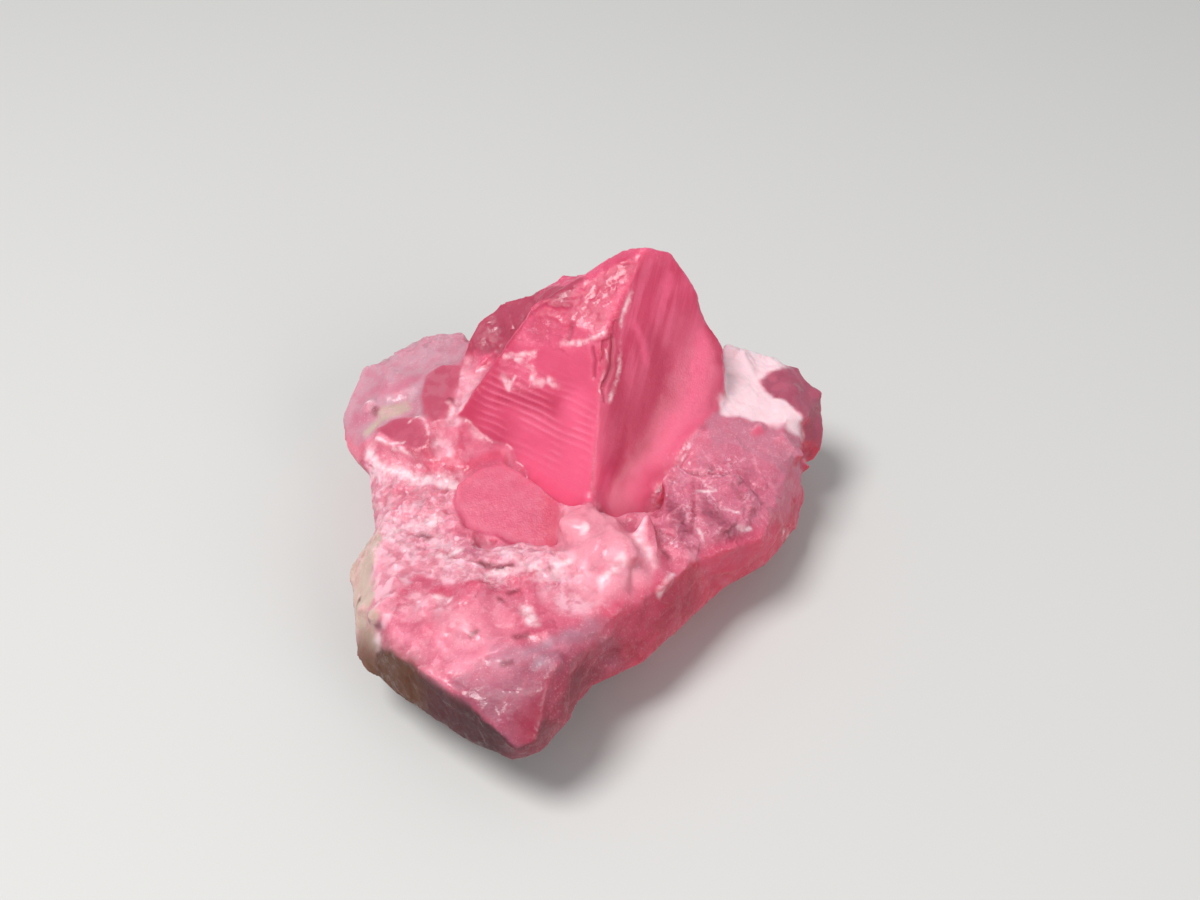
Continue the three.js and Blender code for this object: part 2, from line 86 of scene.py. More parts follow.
# The cleavage of the mineral: the three planes that broken pieces of it part along
CLEAVAGES = np.array([(0.10, -0.35, 0.93), (-0.80, 0.30, 0.52), (0.66, 0.55, 0.51)])

# The crystal's flat faces: a point on each, the way it faces and how far it reaches
FACES = {
    "left": ((-1.4, 2.3, 6.2), (-0.456, -0.696, 0.554), 4.6),
    "right": ((2.2, 3.2, 7.0), (0.55, -0.691, 0.469), 4.4),
    "ledge": ((3.6, 3.0, 5.8), (0.28, -0.67, 0.69), 3.6),
}

OFF_FACE = (0.2, 0.7)  # a face's mark fades out between these distances from its plane
ALIGNED = (0.88, 0.97)  # the mark comes in between these cosines to the face's direction

# Flat faces lower down: a point on each, the way it faces, how far the skin may be lowered and
# raised to it, and its outline from above
FACETS = {
    "rhomb": (
        (-2.7, -0.2, 4.4), (-0.05, -0.30, 0.95), 0.9, 1.4,
        [(-4.5, -0.3), (-4.4, 0.5), (-3.6, 1.1), (-2.8, 1.2), (-2.2, 0.9), (-1.4, 0.2),
         (-0.6, -0.6), (-0.65, -1.4), (-0.9, -2.3), (-1.7, -2.0), (-2.4, -1.9), (-3.0, -1.5),
         (-4.0, -1.3)],
    ),
    "long": (
        (-5.3, 4.6, 5.3), (-0.2, -0.15, 0.97), 0.9, 0.9,
        [(-6.0, 4.6), (-5.9, 5.6), (-5.3, 6.0), (-4.6, 5.8), (-4.6, 4.6), (-4.9, 3.5),
         (-5.4, 3.15), (-5.8, 3.7)],
    ),
    "triangle": (
        (-6.5, 3.0, 4.7), (-0.3, -0.2, 0.94), 0.9, 0.9,
        [(-7.7, 3.6), (-7.0, 3.75), (-6.3, 3.75), (-5.8, 3.1), (-5.45, 2.45), (-5.5, 2.05),
         (-6.05, 2.05), (-6.9, 2.8)],
    ),
    "heel": (
        (-1.1, 1.34, 5.02), (-0.428, -0.703, 0.568), 1.3, 1.2,
        [(-2.1, 1.0), (-1.35, 0.35), (-0.65, -0.35), (-0.3, -0.35), (0.3, -0.1), (0.3, 0.2),
         (-0.3, 0.7), (-1.3, 1.3), (-2.2, 1.6)],
    ),
    "foot": (
        (1.92, 0.82, 4.18), (0.23, -0.679, 0.697), 0.4, 0.4,
        [(0.3, 0.2), (0.6, -0.1), (1.1, -0.35), (1.55, -0.7), (1.9, -0.1), (2.4, 0.6),
         (2.9, 1.2), (2.3, 1.5), (1.5, 1.3), (0.9, 1.0), (0.5, 0.6)],
    ),
}

# What the carving leaves behind that the material reads
CARVED_MARKS = ("clean", "rubble", "striae", "shaded_groove", "rhomb")

# Ground that closes clefts: a point on it, the way it faces, how deep it goes and its outline
FILLS = [
    (
        (1.92, 0.82, 4.18), (0.23, -0.679, 0.697), 1.9,
        [(0.4, 0.5), (0.3, 0.0), (0.8, -0.5), (1.55, -0.8), (2.6, -0.1), (3.2, 1.2), (2.4, 1.5),
         (1.2, 1.4)],
    ),
    (
        (-3.3, -1.7, 3.76), (-0.05, -0.30, 0.95), 1.2,
        [(-4.3, -1.0), (-2.6, -1.1), (-2.2, -2.1), (-2.9, -2.6), (-3.7, -2.5), (-4.4, -1.9)],
    ),
    (
        (-5.0, 1.1, 3.98), (-0.1, -0.25, 0.96), 1.5,
        [(-6.0, 1.1), (-5.2, 0.7), (-4.5, 0.5), (-4.1, 0.9), (-4.2, 1.6), (-5.0, 1.8), (-5.9, 1.6)],
    ),
    (
        (-4.1, 2.5, 4.75), (0.0, -0.2, 0.98), 1.5,
        [(-4.7, 3.0), (-3.8, 2.9), (-3.5, 2.2), (-4.4, 1.9), (-4.9, 2.3)],
    ),
]

# How wide the soft edges of outlines are, and other limits of the marks
FACET_EDGE = 0.14
SPALL_EDGE = 0.15
PAINT_EDGE = 0.25
FINE_STROKE = 0.3  # narrower strokes are shaken less
BEHIND = (6.0, 8.0)  # the back of the mass comes in between these places on the Y axis
FORWARD = (-3.0, 1.0)  # the front of it fades out between these
RIGHTWARD = (1.0, 4.0)  # its right side comes in between these on the line below
RIGHT_LINE = (1.0, -0.4)
UNEVEN = (0.10, 0.22)  # ground that bulges this far gets less rubble, and least
SPIKY = (0.02, 0.05)  # a point that stands out this far starts to be smoothed, and is
SIDE_SLOPE = (0.3, 0.6)  # a normal rises up to this much on the sides, and from this much on top
SHADE_TOP = (3.7, 4.3)  # the painted shade on the dark red front left side fades out between these heights
EDGE_HEIGHT = 0.03  # what stands out this far has a pale rim
PIT_SHADE_DEPTH = 0.08  # what lies this deep gets the full painted shade
WORN_EDGE = 0.5
ROUGH_EDGE = 1.0

# Outlines that are used twice: the mass's left side, and a broken place on the crystal's left face
LEFT_SIDE = [(-8.8, -0.4), (-7.0, -0.6), (-6.6, -3.0), (-6.4, -5.8), (-7.4, -7.0), (-8.8, -5.0)]
LOWER_SPALL = [
    (-2.9, 4.25), (-2.2, 4.1), (-1.65, 3.9), (-1.7, 3.45), (-1.3, 3.1), (-1.9, 3.05), (-2.5, 3.3),
    (-3.0, 3.8),
]

# Outlines of places that are worn smooth and round
WORN = [
    [(-9.6, 5.4), (-8.6, 7.6), (-5.8, 8.8), (-4.3, 8.0), (-4.2, 6.0), (-5.0, 3.4), (-6.5, 3.6),
     (-8.8, 3.2)],
    [(6.6, 5.8), (7.5, 7.2), (9.8, 6.4), (9.8, 3.4), (8.0, 3.6), (6.8, 4.8)],
    LEFT_SIDE,
    [(-4.6, 2.6), (-2.6, 2.3), (-2.3, 1.5), (-3.4, 0.9), (-4.5, 1.2)],
]
WEARING_STEPS = 22
SLIT = (0.05, 0.13)  # cuts this deep in the broken mass start to close, and close
CLOSING_STEPS = 70

# The relief that is pushed into the skin: how high each kind is, and how large
ROLLING = (0.10, 1.9)
BLOCKS = (0.18, 0.9)
FLAKES = (0.20, 0.38)
CRUMBS = (0.016, 0.3)
FACE_WAVES = (0.012, 0.9)
STREAKS = (0.008, 0.3)
STRIA_HEIGHT = 0.009
GROOVE_DEPTH = 0.05
BLOCK_SEED = 23  # the blocks' random numbers also give each block its own tone

# Rounded lumps: the top of each, its radius and how far it swells
LUMPS = [
    ((-0.1, -2.0, 5.0), 0.95, 0.26),
    ((1.2, -3.1, 5.1), 0.85, 0.24),
    ((0.2, -3.3, 4.9), 0.75, 0.14),
    ((1.0, -4.2, 4.9), 0.80, 0.20),
    ((1.9, -3.9, 4.5), 0.50, 0.14),
    ((-1.3, 4.4, 8.8), 0.90, 0.12),
    ((-8.0, 4.8, 4.5), 0.35, 0.12),
    ((8.1, 5.5, 4.6), 1.30, 0.10),
]

# Fine grooves, cut into the skin and darkened with painted shade: the width of each and the places
# that it goes through
GROOVES = [
    (0.17, [(-2.7, 4.4, 7.6), (-2.2, 4.6, 8.2), (-2.0, 4.8, 8.6), (-1.7, 4.8, 8.9),
            (-1.3, 4.9, 9.1), (-0.5, 4.6, 9.2)]),
    (0.16, [(-0.4, 4.0, 8.8), (-0.4, 3.8, 8.6), (-0.5, 3.7, 8.4)]),
    (0.12, [(0.3, 3.2, 8.4), (0.4, 2.9, 8.1), (0.4, 2.6, 7.7)]),
    (0.12, [(0.7, 3.2, 8.7), (0.7, 3.0, 8.4), (0.6, 2.9, 8.2)]),
    (0.12, [(1.0, 3.4, 8.7), (1.0, 3.2, 8.3), (1.0, 2.9, 7.9), (0.9, 2.6, 7.6), (0.7, 2.3, 7.4),
            (0.7, 2.1, 7.0)]),
    (0.20, [(-3.7, -3.1, 4.5), (-3.1, -3.5, 4.7), (-2.8, -3.6, 4.8), (-2.3, -3.6, 4.8)]),
    (0.14, [(3.8, 0.7, 4.8), (3.8, -0.8, 4.9), (3.7, -1.8, 4.6)]),
]

# Where the surface is painted, seen from straight above: the outlines of each kind of surface
OUTLINES = {
    "pale": [
        [(-8.0, 2.6), (-4.6, 1.4), (-4.6, -1.2), (-5.4, -3.4), (-6.6, -6.2), (-8.0, -5.0)],
        [(-5.4, -1.6), (-0.6, -2.6), (0.6, -4.6), (-1.6, -4.2), (-4.0, -4.2), (-6.4, -3.2)],
        [(-4.4, 6.2), (-3.0, 6.0), (-4.2, 4.0), (-4.6, 2.9), (-5.1, 3.2), (-4.7, 4.4)],
    ],
    "lobe": [
        [(-9.6, 5.4), (-8.6, 7.6), (-5.8, 8.8), (-4.3, 8.2), (-4.3, 6.2), (-4.9, 5.6), (-5.3, 3.4),
         (-6.3, 3.6), (-8.4, 3.4)],
    ],
    "mauve": [
        [(2.8, 1.3), (3.6, 1.8), (4.2, 2.9), (4.6, 3.5), (5.8, 3.5), (7.9, 3.4), (8.1, 2.5),
         (7.0, 0.2), (6.1, -1.2), (4.7, -2.1), (3.2, -2.6), (2.6, -2.2), (2.6, 0.1)],
    ],
    "dusk": [
        [(6.7, 5.8), (7.5, 6.6), (8.3, 7.2), (9.6, 6.0), (9.6, 3.5), (8.1, 3.6), (8.1, 4.1),
         (7.5, 4.3), (6.8, 5.0)],
    ],
    "dim": [
        [(-4.0, -7.9), (-3.0, -7.2), (-1.6, -7.3), (-0.4, -7.0), (0.8, -6.2), (0.6, -8.0),
         (-1.0, -9.9), (-3.0, -9.8)],
    ],
    "mist": [
        [(4.3, 3.2), (5.0, 3.7), (7.8, 3.6), (8.1, 2.8), (7.2, 1.6), (5.6, 2.2), (4.6, 2.0)],
    ],
    "strip": [
        [(-7.9, 3.3), (-6.9, 2.9), (-6.0, 2.4), (-5.1, 1.9), (-4.2, 1.8), (-4.2, 1.35),
         (-5.05, 1.3), (-6.2, 1.7), (-7.3, 2.3)],
        [(-6.9, 0.9), (-5.9, 1.2), (-5.8, 0.1), (-6.7, -0.3)],
        [(-5.6, 0.8), (-4.7, 0.8), (-4.6, -0.9), (-5.4, -0.6)],
    ],
    "peach": [
        [(-0.8, -1.0), (-0.6, -0.4), (0.0, -0.3), (0.6, -0.6), (1.4, -2.0), (2.1, -2.2),
         (2.4, -3.5), (2.2, -4.6), (1.2, -5.1), (0.3, -5.1), (-0.4, -4.2), (-0.9, -3.3)],
    ],
    "cream": [
        [(-8.6, -0.8), (-7.1, -0.6), (-6.8, -1.6), (-7.0, -3.0), (-6.8, -4.6), (-6.4, -5.8),
         (-7.2, -6.6), (-8.6, -5.0)],
    ],
    "back": [
        [(-4.6, 6.1), (-3.7, 5.9), (-3.0, 5.5), (-2.3, 5.6), (-1.9, 6.2), (-1.4, 7.4), (-2.6, 8.4),
         (-4.4, 7.6)],
        [(-2.1, 6.2), (-1.6, 5.0), (-0.6, 4.9), (0.1, 5.4), (-0.5, 6.1), (-1.3, 7.2)],
    ],
    "frost": [
        LOWER_SPALL,
    ],
    "chalk": [
        [(5.4, 7.8), (7.1, 7.6), (7.9, 6.8), (7.4, 6.3), (6.9, 6.0), (6.65, 5.5), (6.75, 5.0),
         (7.3, 4.6), (7.6, 4.2), (8.1, 4.0), (7.9, 3.5), (6.8, 3.3), (5.8, 3.5), (5.0, 3.4),
         (4.9, 3.7), (5.1, 4.3), (5.2, 5.0), (5.2, 6.0)],
    ],
}

# The strokes of each kind of surface: the width of each and the places that it goes through
STROKES = {
    "pale": [
        (0.6, [(-5.8, 2.3, 4.4), (-5.3, 2.5, 4.5), (-4.7, 1.8, 4.5)]),
        (0.9, [(-0.8, -4.7, 4.7), (0.6, -5.3, 4.6)]),
        (0.8, [(-5.2, -4.8, 4.4), (-4.2, -5.6, 4.5), (-3.6, -6.0, 4.6)]),
    ],
    "mauve": [
        (0.5, [(-7.8, 5.6, 4.6), (-7.5, 5.2, 4.9)]),
        (0.5, [(-8.5, 4.6, 4.1), (-8.1, 4.4, 4.2)]),
        (0.6, [(-6.9, 5.2, 5.0), (-6.4, 5.6, 5.1)]),
        (0.3, [(-5.6, -2.1, 4.2), (-5.3, -2.2, 4.2)]),
        (0.5, [(-3.8, -2.3, 4.3), (-3.4, -2.9, 4.5)]),
    ],
    "dusk": [
        (0.5, [(2.8, -0.5, 4.9), (3.0, -1.1, 4.9), (3.5, -1.8, 4.6)]),
        (0.6, [(4.2, -0.9, 4.7), (4.8, -1.4, 4.4), (5.4, -1.6, 3.8)]),
        (1.3, [(-2.8, -8.7, 4.1), (-1.8, -8.7, 4.3), (-1.4, -9.1, 3.9)]),
    ],
    "strip": [
        (0.9, [(-2.2, -6.0, 4.6), (-3.8, -5.6, 4.6), (-4.6, -5.6, 4.5)]),
        (0.7, [(-8.9, 3.8, 3.4), (-8.4, 3.2, 3.2)]),
    ],
    "cream": [
        (0.25, [(-8.0, 3.7, 4.1), (-7.4, 4.1, 4.4), (-6.8, 4.1, 4.7), (-6.5, 4.3, 4.8)]),
        (0.35, [(-7.4, 4.3, 4.7), (-7.1, 4.3, 4.8), (-6.7, 4.5, 4.8)]),
    ],
    "ash": [
        (0.5, [(-2.6, -7.2, 4.4), (-1.2, -7.0, 4.7), (-0.6, -6.7, 4.8), (0.7, -5.8, 4.5)]),
        (0.45, [(-1.2, -7.5, 4.6), (-0.9, -7.4, 4.8)]),
        (0.6, [(0.8, -6.2, 3.9), (1.1, -6.1, 3.3)]),
    ],
    "bloom": [
        (1.1, [(-4.4, -6.6, 4.3), (-3.3, -7.3, 4.3), (-2.6, -7.4, 4.4)]),
        (0.6, [(-6.0, -5.2, 4.2), (-5.6, -6.0, 4.1), (-5.2, -6.6, 4.2)]),
        (0.4, [(-4.1, 5.5, 5.7), (-4.3, 4.7, 5.5), (-4.5, 4.4, 5.3)]),
    ],
    "flush": [
        (0.7, [(-1.2, -0.3, 4.2), (-1.1, -1.2, 4.2), (-1.1, -2.0, 4.4)]),
        (0.35, [(-2.2, -4.2, 4.6), (-1.9, -4.0, 4.6), (-1.6, -3.9, 4.6)]),
        (0.3, [(-2.3, -4.7, 4.7), (-2.1, -4.6, 4.6)]),
        (0.45, [(-3.9, -4.2, 4.5), (-3.4, -4.6, 5.0), (-3.0, -4.3, 4.6)]),
        (0.35, [(-4.6, -4.4, 4.5), (-4.2, -4.5, 4.5)]),
        (0.9, [(0.9, -5.5, 4.6), (1.8, -4.9, 4.2), (2.5, -4.2, 4.1)]),
        (0.5, [(-4.1, 1.5, 4.4), (-3.4, 1.7, 4.7), (-3.0, 1.8, 4.8)]),
        (0.3, [(-4.5, 1.9, 4.6), (-4.3, 2.3, 4.5)]),
        (0.4, [(-5.6, 1.8, 4.2), (-5.1, 1.8, 4.4), (-4.8, 1.5, 4.4)]),
        (0.6, [(4.1, -2.5, 3.8), (5.4, -1.7, 3.5), (6.8, -0.4, 3.0)]),
    ],
    "ember": [
        (1.0, [(-1.4, -9.2, 3.6), (-0.8, -8.7, 3.7), (0.1, -7.2, 3.4), (1.2, -6.1, 3.3)]),
        (0.9, [(1.2, -6.1, 3.3), (2.3, -5.0, 3.5), (3.6, -3.5, 3.2)]),
    ],
    "deep": [
        (1.3, [(-2.9, 4.6, 7.2), (-4.5, 3.4, 5.0), (-4.0, 2.4, 4.6), (-3.2, 2.3, 4.7)]),
        (0.5, [(-3.0, 3.4, 6.1), (-2.4, 3.2, 6.3), (-1.9, 2.9, 6.4), (-1.1, 2.5, 6.5)]),
        (0.9, [(1.0, 3.0, 8.0), (1.3, 2.4, 6.8), (1.3, 1.8, 6.0), (1.2, 1.1, 5.0)]),
        (0.9, [(2.6, 4.0, 7.6), (2.8, 3.4, 6.5), (1.9, 2.2, 5.7)]),
        (0.5, [(1.8, 1.6, 5.0), (2.2, 2.0, 5.2)]),
        (0.45, [(0.1, 4.3, 9.2), (0.4, 4.3, 9.3), (0.5, 3.9, 9.0)]),
        (0.5, [(4.7, 5.4, 7.6), (4.9, 4.8, 6.9)]),
        (1.0, [(-1.2, 4.7, 8.9), (-0.1, 4.6, 9.3), (0.7, 4.9, 9.7), (1.5, 5.4, 10.3)]),
    ],
    # Painted light on the crystal: the glow of light through the foot of its left face, and painted
    # highlights along the ledge and near the tip
    "painted_glow": [
        (1.9, [(-1.7, 1.2, 4.3), (-0.7, 0.6, 4.6), (-0.2, 0.9, 5.2)]),
        (0.8, [(-0.2, 2.2, 7.0), (-0.1, 1.2, 5.6)]),
        (0.6, [(4.3, 4.9, 7.2), (4.0, 3.4, 5.9), (3.0, 2.0, 4.9), (1.9, 0.6, 4.0)]),
        (0.3, [(3.1, 5.7, 9.6), (2.8, 5.0, 9.0)]),
        (0.25, [(1.8, 4.1, 8.7), (2.1, 3.9, 8.2), (2.2, 3.6, 7.6)]),
    ],
    "frost": [
        (0.45, [(-2.2, 4.3, 8.1), (-1.3, 4.2, 8.6), (-0.6, 3.9, 8.6)]),
        (0.4, [(-0.3, 4.3, 9.1), (0.1, 3.8, 8.8), (0.5, 3.4, 8.7)]),
        (0.5, [(3.2, 1.5, 4.9), (4.6, 1.7, 5.0), (6.2, 1.5, 4.4)]),
    ],
    # Painted shade in small holes and dark spots
    "hole_shade": [
        (0.22, [(-7.8, 4.5, 4.6), (-7.7, 4.35, 4.6)]),
        (0.16, [(-4.9, 4.2, 5.3), (-4.8, 4.1, 5.2)]),
        (0.24, [(-5.5, -1.5, 4.1), (-5.2, -1.7, 4.2)]),
        (0.2, [(-3.4, -3.3, 4.6), (-2.8, -3.6, 4.8), (-2.3, -3.65, 4.8)]),
        (0.18, [(-2.3, -4.7, 4.7), (-2.1, -4.6, 4.6)]),
        (0.14, [(-2.6, -5.0, 4.7), (-2.5, -5.1, 4.7)]),
        (0.22, [(-2.0, -6.6, 4.8), (-1.7, -6.5, 4.8)]),
        (0.16, [(-3.4, -6.4, 4.6), (-3.2, -6.3, 4.6)]),
        (0.2, [(-2.4, -7.4, 4.5), (-2.1, -7.4, 4.5)]),
        (0.16, [(2.7, -2.7, 4.4), (2.9, -2.9, 4.4)]),
        (0.16, [(2.7, 0.9, 3.9), (2.6, 0.2, 4.2), (2.5, -0.6, 4.6)]),
    ],
    # White veins and lines, with a few painted highlights among them
    "white_veins_and_highlights": [
        (0.1, [(-2.8, 4.2, 7.3), (-2.5, 4.1, 7.4), (-2.2, 4.0, 7.5), (-1.7, 3.9, 7.7)]),
        (0.08, [(-1.7, 3.8, 7.6), (-2.0, 3.8, 7.4), (-2.4, 4.0, 7.3)]),
        (0.09, [(-2.4, 4.0, 7.3), (-2.0, 3.7, 7.3), (-1.8, 3.6, 7.2), (-1.7, 3.4, 7.2)]),
        (0.14, [(-1.8, 3.4, 7.0), (-1.7, 3.2, 6.9), (-1.4, 3.1, 6.9)]),
        (0.14, [(-1.2, 3.1, 7.1), (-0.8, 2.8, 7.0)]),
        (0.14, [(-2.9, 3.8, 6.7), (-2.6, 3.4, 6.5)]),
        (0.07, [(-2.4, 3.6, 6.8), (-2.6, 3.5, 6.5)]),
        (0.15, [(-0.7, 3.7, 8.3), (-0.6, 3.65, 8.2)]),
        (0.1, [(-0.6, 3.65, 8.2), (-0.4, 3.6, 8.3), (-0.1, 3.5, 8.4), (0.3, 3.4, 8.7)]),
        (0.09, [(0.3, 3.4, 8.7), (0.7, 3.4, 8.8), (0.8, 3.5, 8.9)]),
        (0.1, [(1.7, 4.7, 9.7), (1.5, 4.4, 9.4), (1.4, 4.1, 9.2), (1.3, 3.8, 8.9)]),
        (0.07, [(1.3, 3.6, 8.6), (1.3, 3.3, 8.2), (1.25, 3.0, 7.7), (1.2, 2.7, 7.4),
                (0.9, 2.2, 6.9)]),
        (0.06, [(0.8, 3.1, 8.4), (0.9, 2.9, 8.1), (0.7, 2.6, 7.8), (0.6, 2.4, 7.6),
                (0.6, 2.2, 7.3)]),
        (0.1, [(-7.6, 3.1, 4.4), (-7.1, 2.75, 4.5), (-6.9, 2.65, 4.5), (-6.5, 2.55, 4.6)]),
        (0.08, [(-6.9, 2.6, 4.4), (-6.5, 2.35, 4.5), (-6.3, 2.3, 4.3), (-6.0, 2.1, 4.2)]),
        (0.09, [(-6.3, 3.4, 4.9), (-6.1, 3.7, 4.8), (-5.8, 3.5, 4.8), (-5.6, 3.0, 4.9),
                (-5.6, 2.7, 4.8)]),
        (0.22, [(-8.0, 4.9, 4.5), (-7.9, 4.85, 4.5)]),
        (0.16, [(-4.9, 4.0, 5.2), (-4.8, 3.7, 5.0), (-4.9, 3.5, 4.9)]),
        (0.3, [(-7.9, 3.0, 3.9), (-7.6, 2.45, 3.7), (-7.1, 2.0, 3.9), (-6.6, 1.7, 3.8),
               (-5.8, 1.4, 3.9), (-4.8, 1.1, 4.1), (-4.5, 0.8, 4.1)]),
        (0.25, [(-7.6, 2.15, 3.5), (-7.6, 2.3, 3.6)]),
        (0.2, [(-4.2, 3.0, 4.5), (-3.7, 2.6, 4.6)]),
        (0.35, [(-6.6, -1.7, 4.2), (-6.3, -1.2, 4.0), (-5.8, -1.1, 4.1), (-5.1, -1.0, 4.1)]),
        (0.25, [(-4.6, -2.9, 4.3), (-4.1, -2.5, 4.4)]),
        (0.16, [(-3.1, -3.8, 4.5), (-2.8, -3.75, 4.7), (-2.4, -3.8, 4.7)]),
        (0.22, [(-2.6, -2.8, 4.6), (-2.0, -3.4, 4.8)]),
        (0.18, [(-2.0, -2.8, 4.6), (-1.4, -3.3, 4.8), (-0.9, -3.7, 4.9)]),
        (0.16, [(-1.7, -3.7, 4.8), (-1.2, -3.8, 4.7)]),
        (0.24, [(-0.9, -3.8, 4.8), (-0.6, -3.6, 4.9), (-0.3, -3.5, 4.9)]),
        # These two strokes are painted highlights on the peach lumps at the crystal's foot
        (0.18, [(0.1, -2.35, 5.1), (0.1, -2.5, 5.0)]),
        (0.28, [(0.7, -4.4, 4.8), (1.0, -4.0, 4.9), (1.3, -3.6, 5.1)]),
        (0.2, [(-4.7, -4.7, 4.5), (-4.2, -4.9, 4.6)]),
        (0.38, [(-1.8, -5.4, 4.6), (-1.5, -6.0, 4.8)]),
        (0.3, [(-6.5, -5.6, 3.5), (-6.4, -5.9, 3.3)]),
        (0.1, [(2.9, 1.3, 4.4), (3.1, 1.1, 5.0), (3.4, 0.9, 5.2)]),
        (0.08, [(3.9, -0.3, 5.0), (4.6, -0.2, 4.9)]),
        (0.08, [(4.7, -0.8, 4.6), (5.4, -0.8, 4.4)]),
        (0.1, [(5.3, -1.3, 4.2), (5.8, -1.0, 3.8)]),
        (0.09, [(3.9, -1.7, 4.6), (4.1, -2.2, 4.3)]),
        (0.24, [(2.0, -2.0, 5.4), (1.8, -2.4, 5.2), (2.1, -2.9, 4.9), (2.4, -3.2, 4.6)]),
        (0.16, [(2.5, -4.2, 4.1), (3.0, -3.5, 4.2)]),
        (0.14, [(7.2, 0.2, 2.4), (7.5, 0.6, 1.8)]),
        (0.3, [(8.3, 3.9, 2.3), (8.8, 3.8, 2.3)]),
    ],
    "rust": [
        (1.1, [(-7.2, -5.4, 2.0), (-6.4, -6.4, 2.6), (-5.4, -7.4, 2.8)]),
        (0.5, [(-6.3, -6.3, 3.4), (-5.4, -7.1, 3.7)]),
        (0.16, [(-7.4, -3.6, 3.1), (-7.4, -3.8, 3.0)]),
    ],
}

# The tints of the marks on the broken mass, each laid over the ones before it: its colour as it
# shows on a screen, from 0 to 255, and how much it covers
TINTS = [
    # Deep raspberry on the steep right sides: partly the stone's own colour, partly painted shade
    ("flank", (194, 32, 68), 0.9),
    ("lobe", (196, 148, 162), 0.88),
    ("mauve", (202, 108, 134), 0.8),
    ("dusk", (156, 68, 92), 0.85),
    ("strip", (222, 120, 142), 0.75),
    ("window", (184, 70, 98), 0.95),
    ("rhomb", (210, 86, 118), 0.9),
    ("peach", (238, 160, 176), 0.75),
    ("cream", (192, 172, 152), 0.85),
    ("mist", (194, 120, 140), 0.75),
    ("dim", (152, 74, 96), 0.85),
    ("ash", (168, 122, 140), 0.8),
    ("bloom", (240, 150, 172), 0.5),
    ("flush", (208, 66, 100), 0.8),
    ("ember", (160, 30, 60), 0.8),
]

# The tints of hollows and dark specks, all of them painted shade: in pits, in the fine grooves and
# in small holes
HOLLOWS = [
    ("pit_shade", (160, 36, 66), 0.55),
    ("shaded_groove", (168, 34, 68), 0.45),
    ("hole_shade", (128, 30, 54), 0.75),
]

# How far light goes below the surface, and the share of that for red, green and blue
DEPTH_OF_LIGHT = 0.45
SCATTERING = (1.0, 0.30, 0.38)

# How rough the broken surface is in some outlines, where 1 is the coarsest rubble
ROUGH_ZONES = [
    (1.0, [(-8.0, 2.4), (-4.6, 1.2), (-4.4, -0.8), (-4.8, -3.0), (-8.0, -2.0)]),
    (0.9, [(-4.6, -1.8), (-0.6, -2.7), (0.0, -4.2), (-3.5, -4.4), (-5.0, -3.4)]),
    (0.6, [(2.6, 1.4), (6.2, 1.6), (6.6, -0.2), (5.0, -2.0), (3.0, -2.8), (2.4, -1.8)]),
    (0.08, [(-0.9, -0.8), (0.6, -0.6), (2.3, -2.2), (2.4, -4.4), (0.4, -5.0), (-0.8, -3.4)]),
    (0.14, [(-4.6, -5.8), (0.0, -6.4), (-1.0, -9.6), (-3.6, -9.0)]),
    (0.12, [(6.6, 5.6), (8.4, 7.4), (9.8, 6.0), (9.6, 3.4), (8.0, 3.6), (6.8, 4.8)]),
    (0.12, [(-9.6, 6.0), (-8.0, 8.0), (-5.0, 8.6), (-4.4, 6.4), (-5.4, 3.4), (-6.6, 3.0),
            (-9.0, 3.2)]),
    (0.10, LEFT_SIDE),
]
ROUGH_ELSEWHERE = 0.28
ROUGH_BEHIND = 0.5

# Places on the crystal where its face is broken: outlines from above
SPALLS = [
    LOWER_SPALL,
    [(-2.7, 4.4), (-2.0, 4.9), (-1.3, 5.0), (-0.3, 4.7), (-0.1, 3.9), (-0.5, 3.65),
     (-1.2, 3.8), (-2.1, 4.25)],
]

# Chipped lines on the crystal: the width of each and the places that it goes through
CHIPS = [
    (0.30, [(-2.0, 6.6, 7.7), (-2.8, 4.3, 7.3), (-3.3, 4.0, 6.6), (-3.9, 3.8, 5.8)]),
    (0.35, [(-0.7, 3.7, 8.2), (0.1, 3.4, 8.5), (0.8, 3.4, 8.8), (1.1, 3.9, 9.2), (1.6, 4.7, 9.7)]),
    (0.22, [(0.8, 3.3, 8.7), (0.7, 2.8, 8.1), (0.7, 2.1, 7.0)]),
]

# Creases that are rounded out: the width of each and the places that it goes through
ROUNDED = [
    (1.0, [(4.15, 5.8, 8.3), (3.75, 4.4, 6.85), (2.9, 3.3, 6.2), (2.3, 2.3, 5.5), (1.6, 1.2, 4.6)]),
    (0.5, [(5.15, 4.6, 6.45), (4.75, 3.85, 5.85), (3.7, 2.35, 5.0), (2.65, 1.05, 4.15)]),
    (0.7, [(0.4, 0.0, 4.2), (0.7, 0.3, 4.3), (1.3, 0.7, 4.3), (1.9, 1.0, 4.3), (2.5, 1.3, 4.4),
           (3.0, 1.7, 4.7)]),
]
ROUNDING_STEPS = 60

# The stage, in metres: the pale floor, and each lamp's place, width and power in watts
FLOOR_REACH = 0.6
FLOOR_COLOUR = (0.62, 0.61, 0.59)
SKY_COLOUR = (0.93, 0.96, 1.0, 1)
SKY_STRENGTH = 0.36
LAMPS = {
    "key": ((-0.075, -0.03, 0.175), 0.08, 0.32),
    "fill": ((0.12, -0.13, 0.10), 0.12, 0.12),
}
LAMPS_AIM = (0, 0, 0.004)

# The camera stands where the photo's did: its place from the crystal's tip, in millimetres, and
# its turn up from straight down, in degrees
CAMERA_LENS = 40.43
CAMERA_FROM_TIP = (-1.607, -39.544, 26.075)
CAMERA_TILT = 48


def smoothstep(value, low, high):
    """0 up to low and 1 from high, with a smooth turn between."""
    share = np.clip((value - low) / (high - low), 0, 1)
    return share * share * (3 - 2 * share)


def unit(vectors):
    """The same directions with a length of 1."""
    return vectors / np.maximum(np.linalg.norm(vectors, axis=-1, keepdims=True), 1e-12)


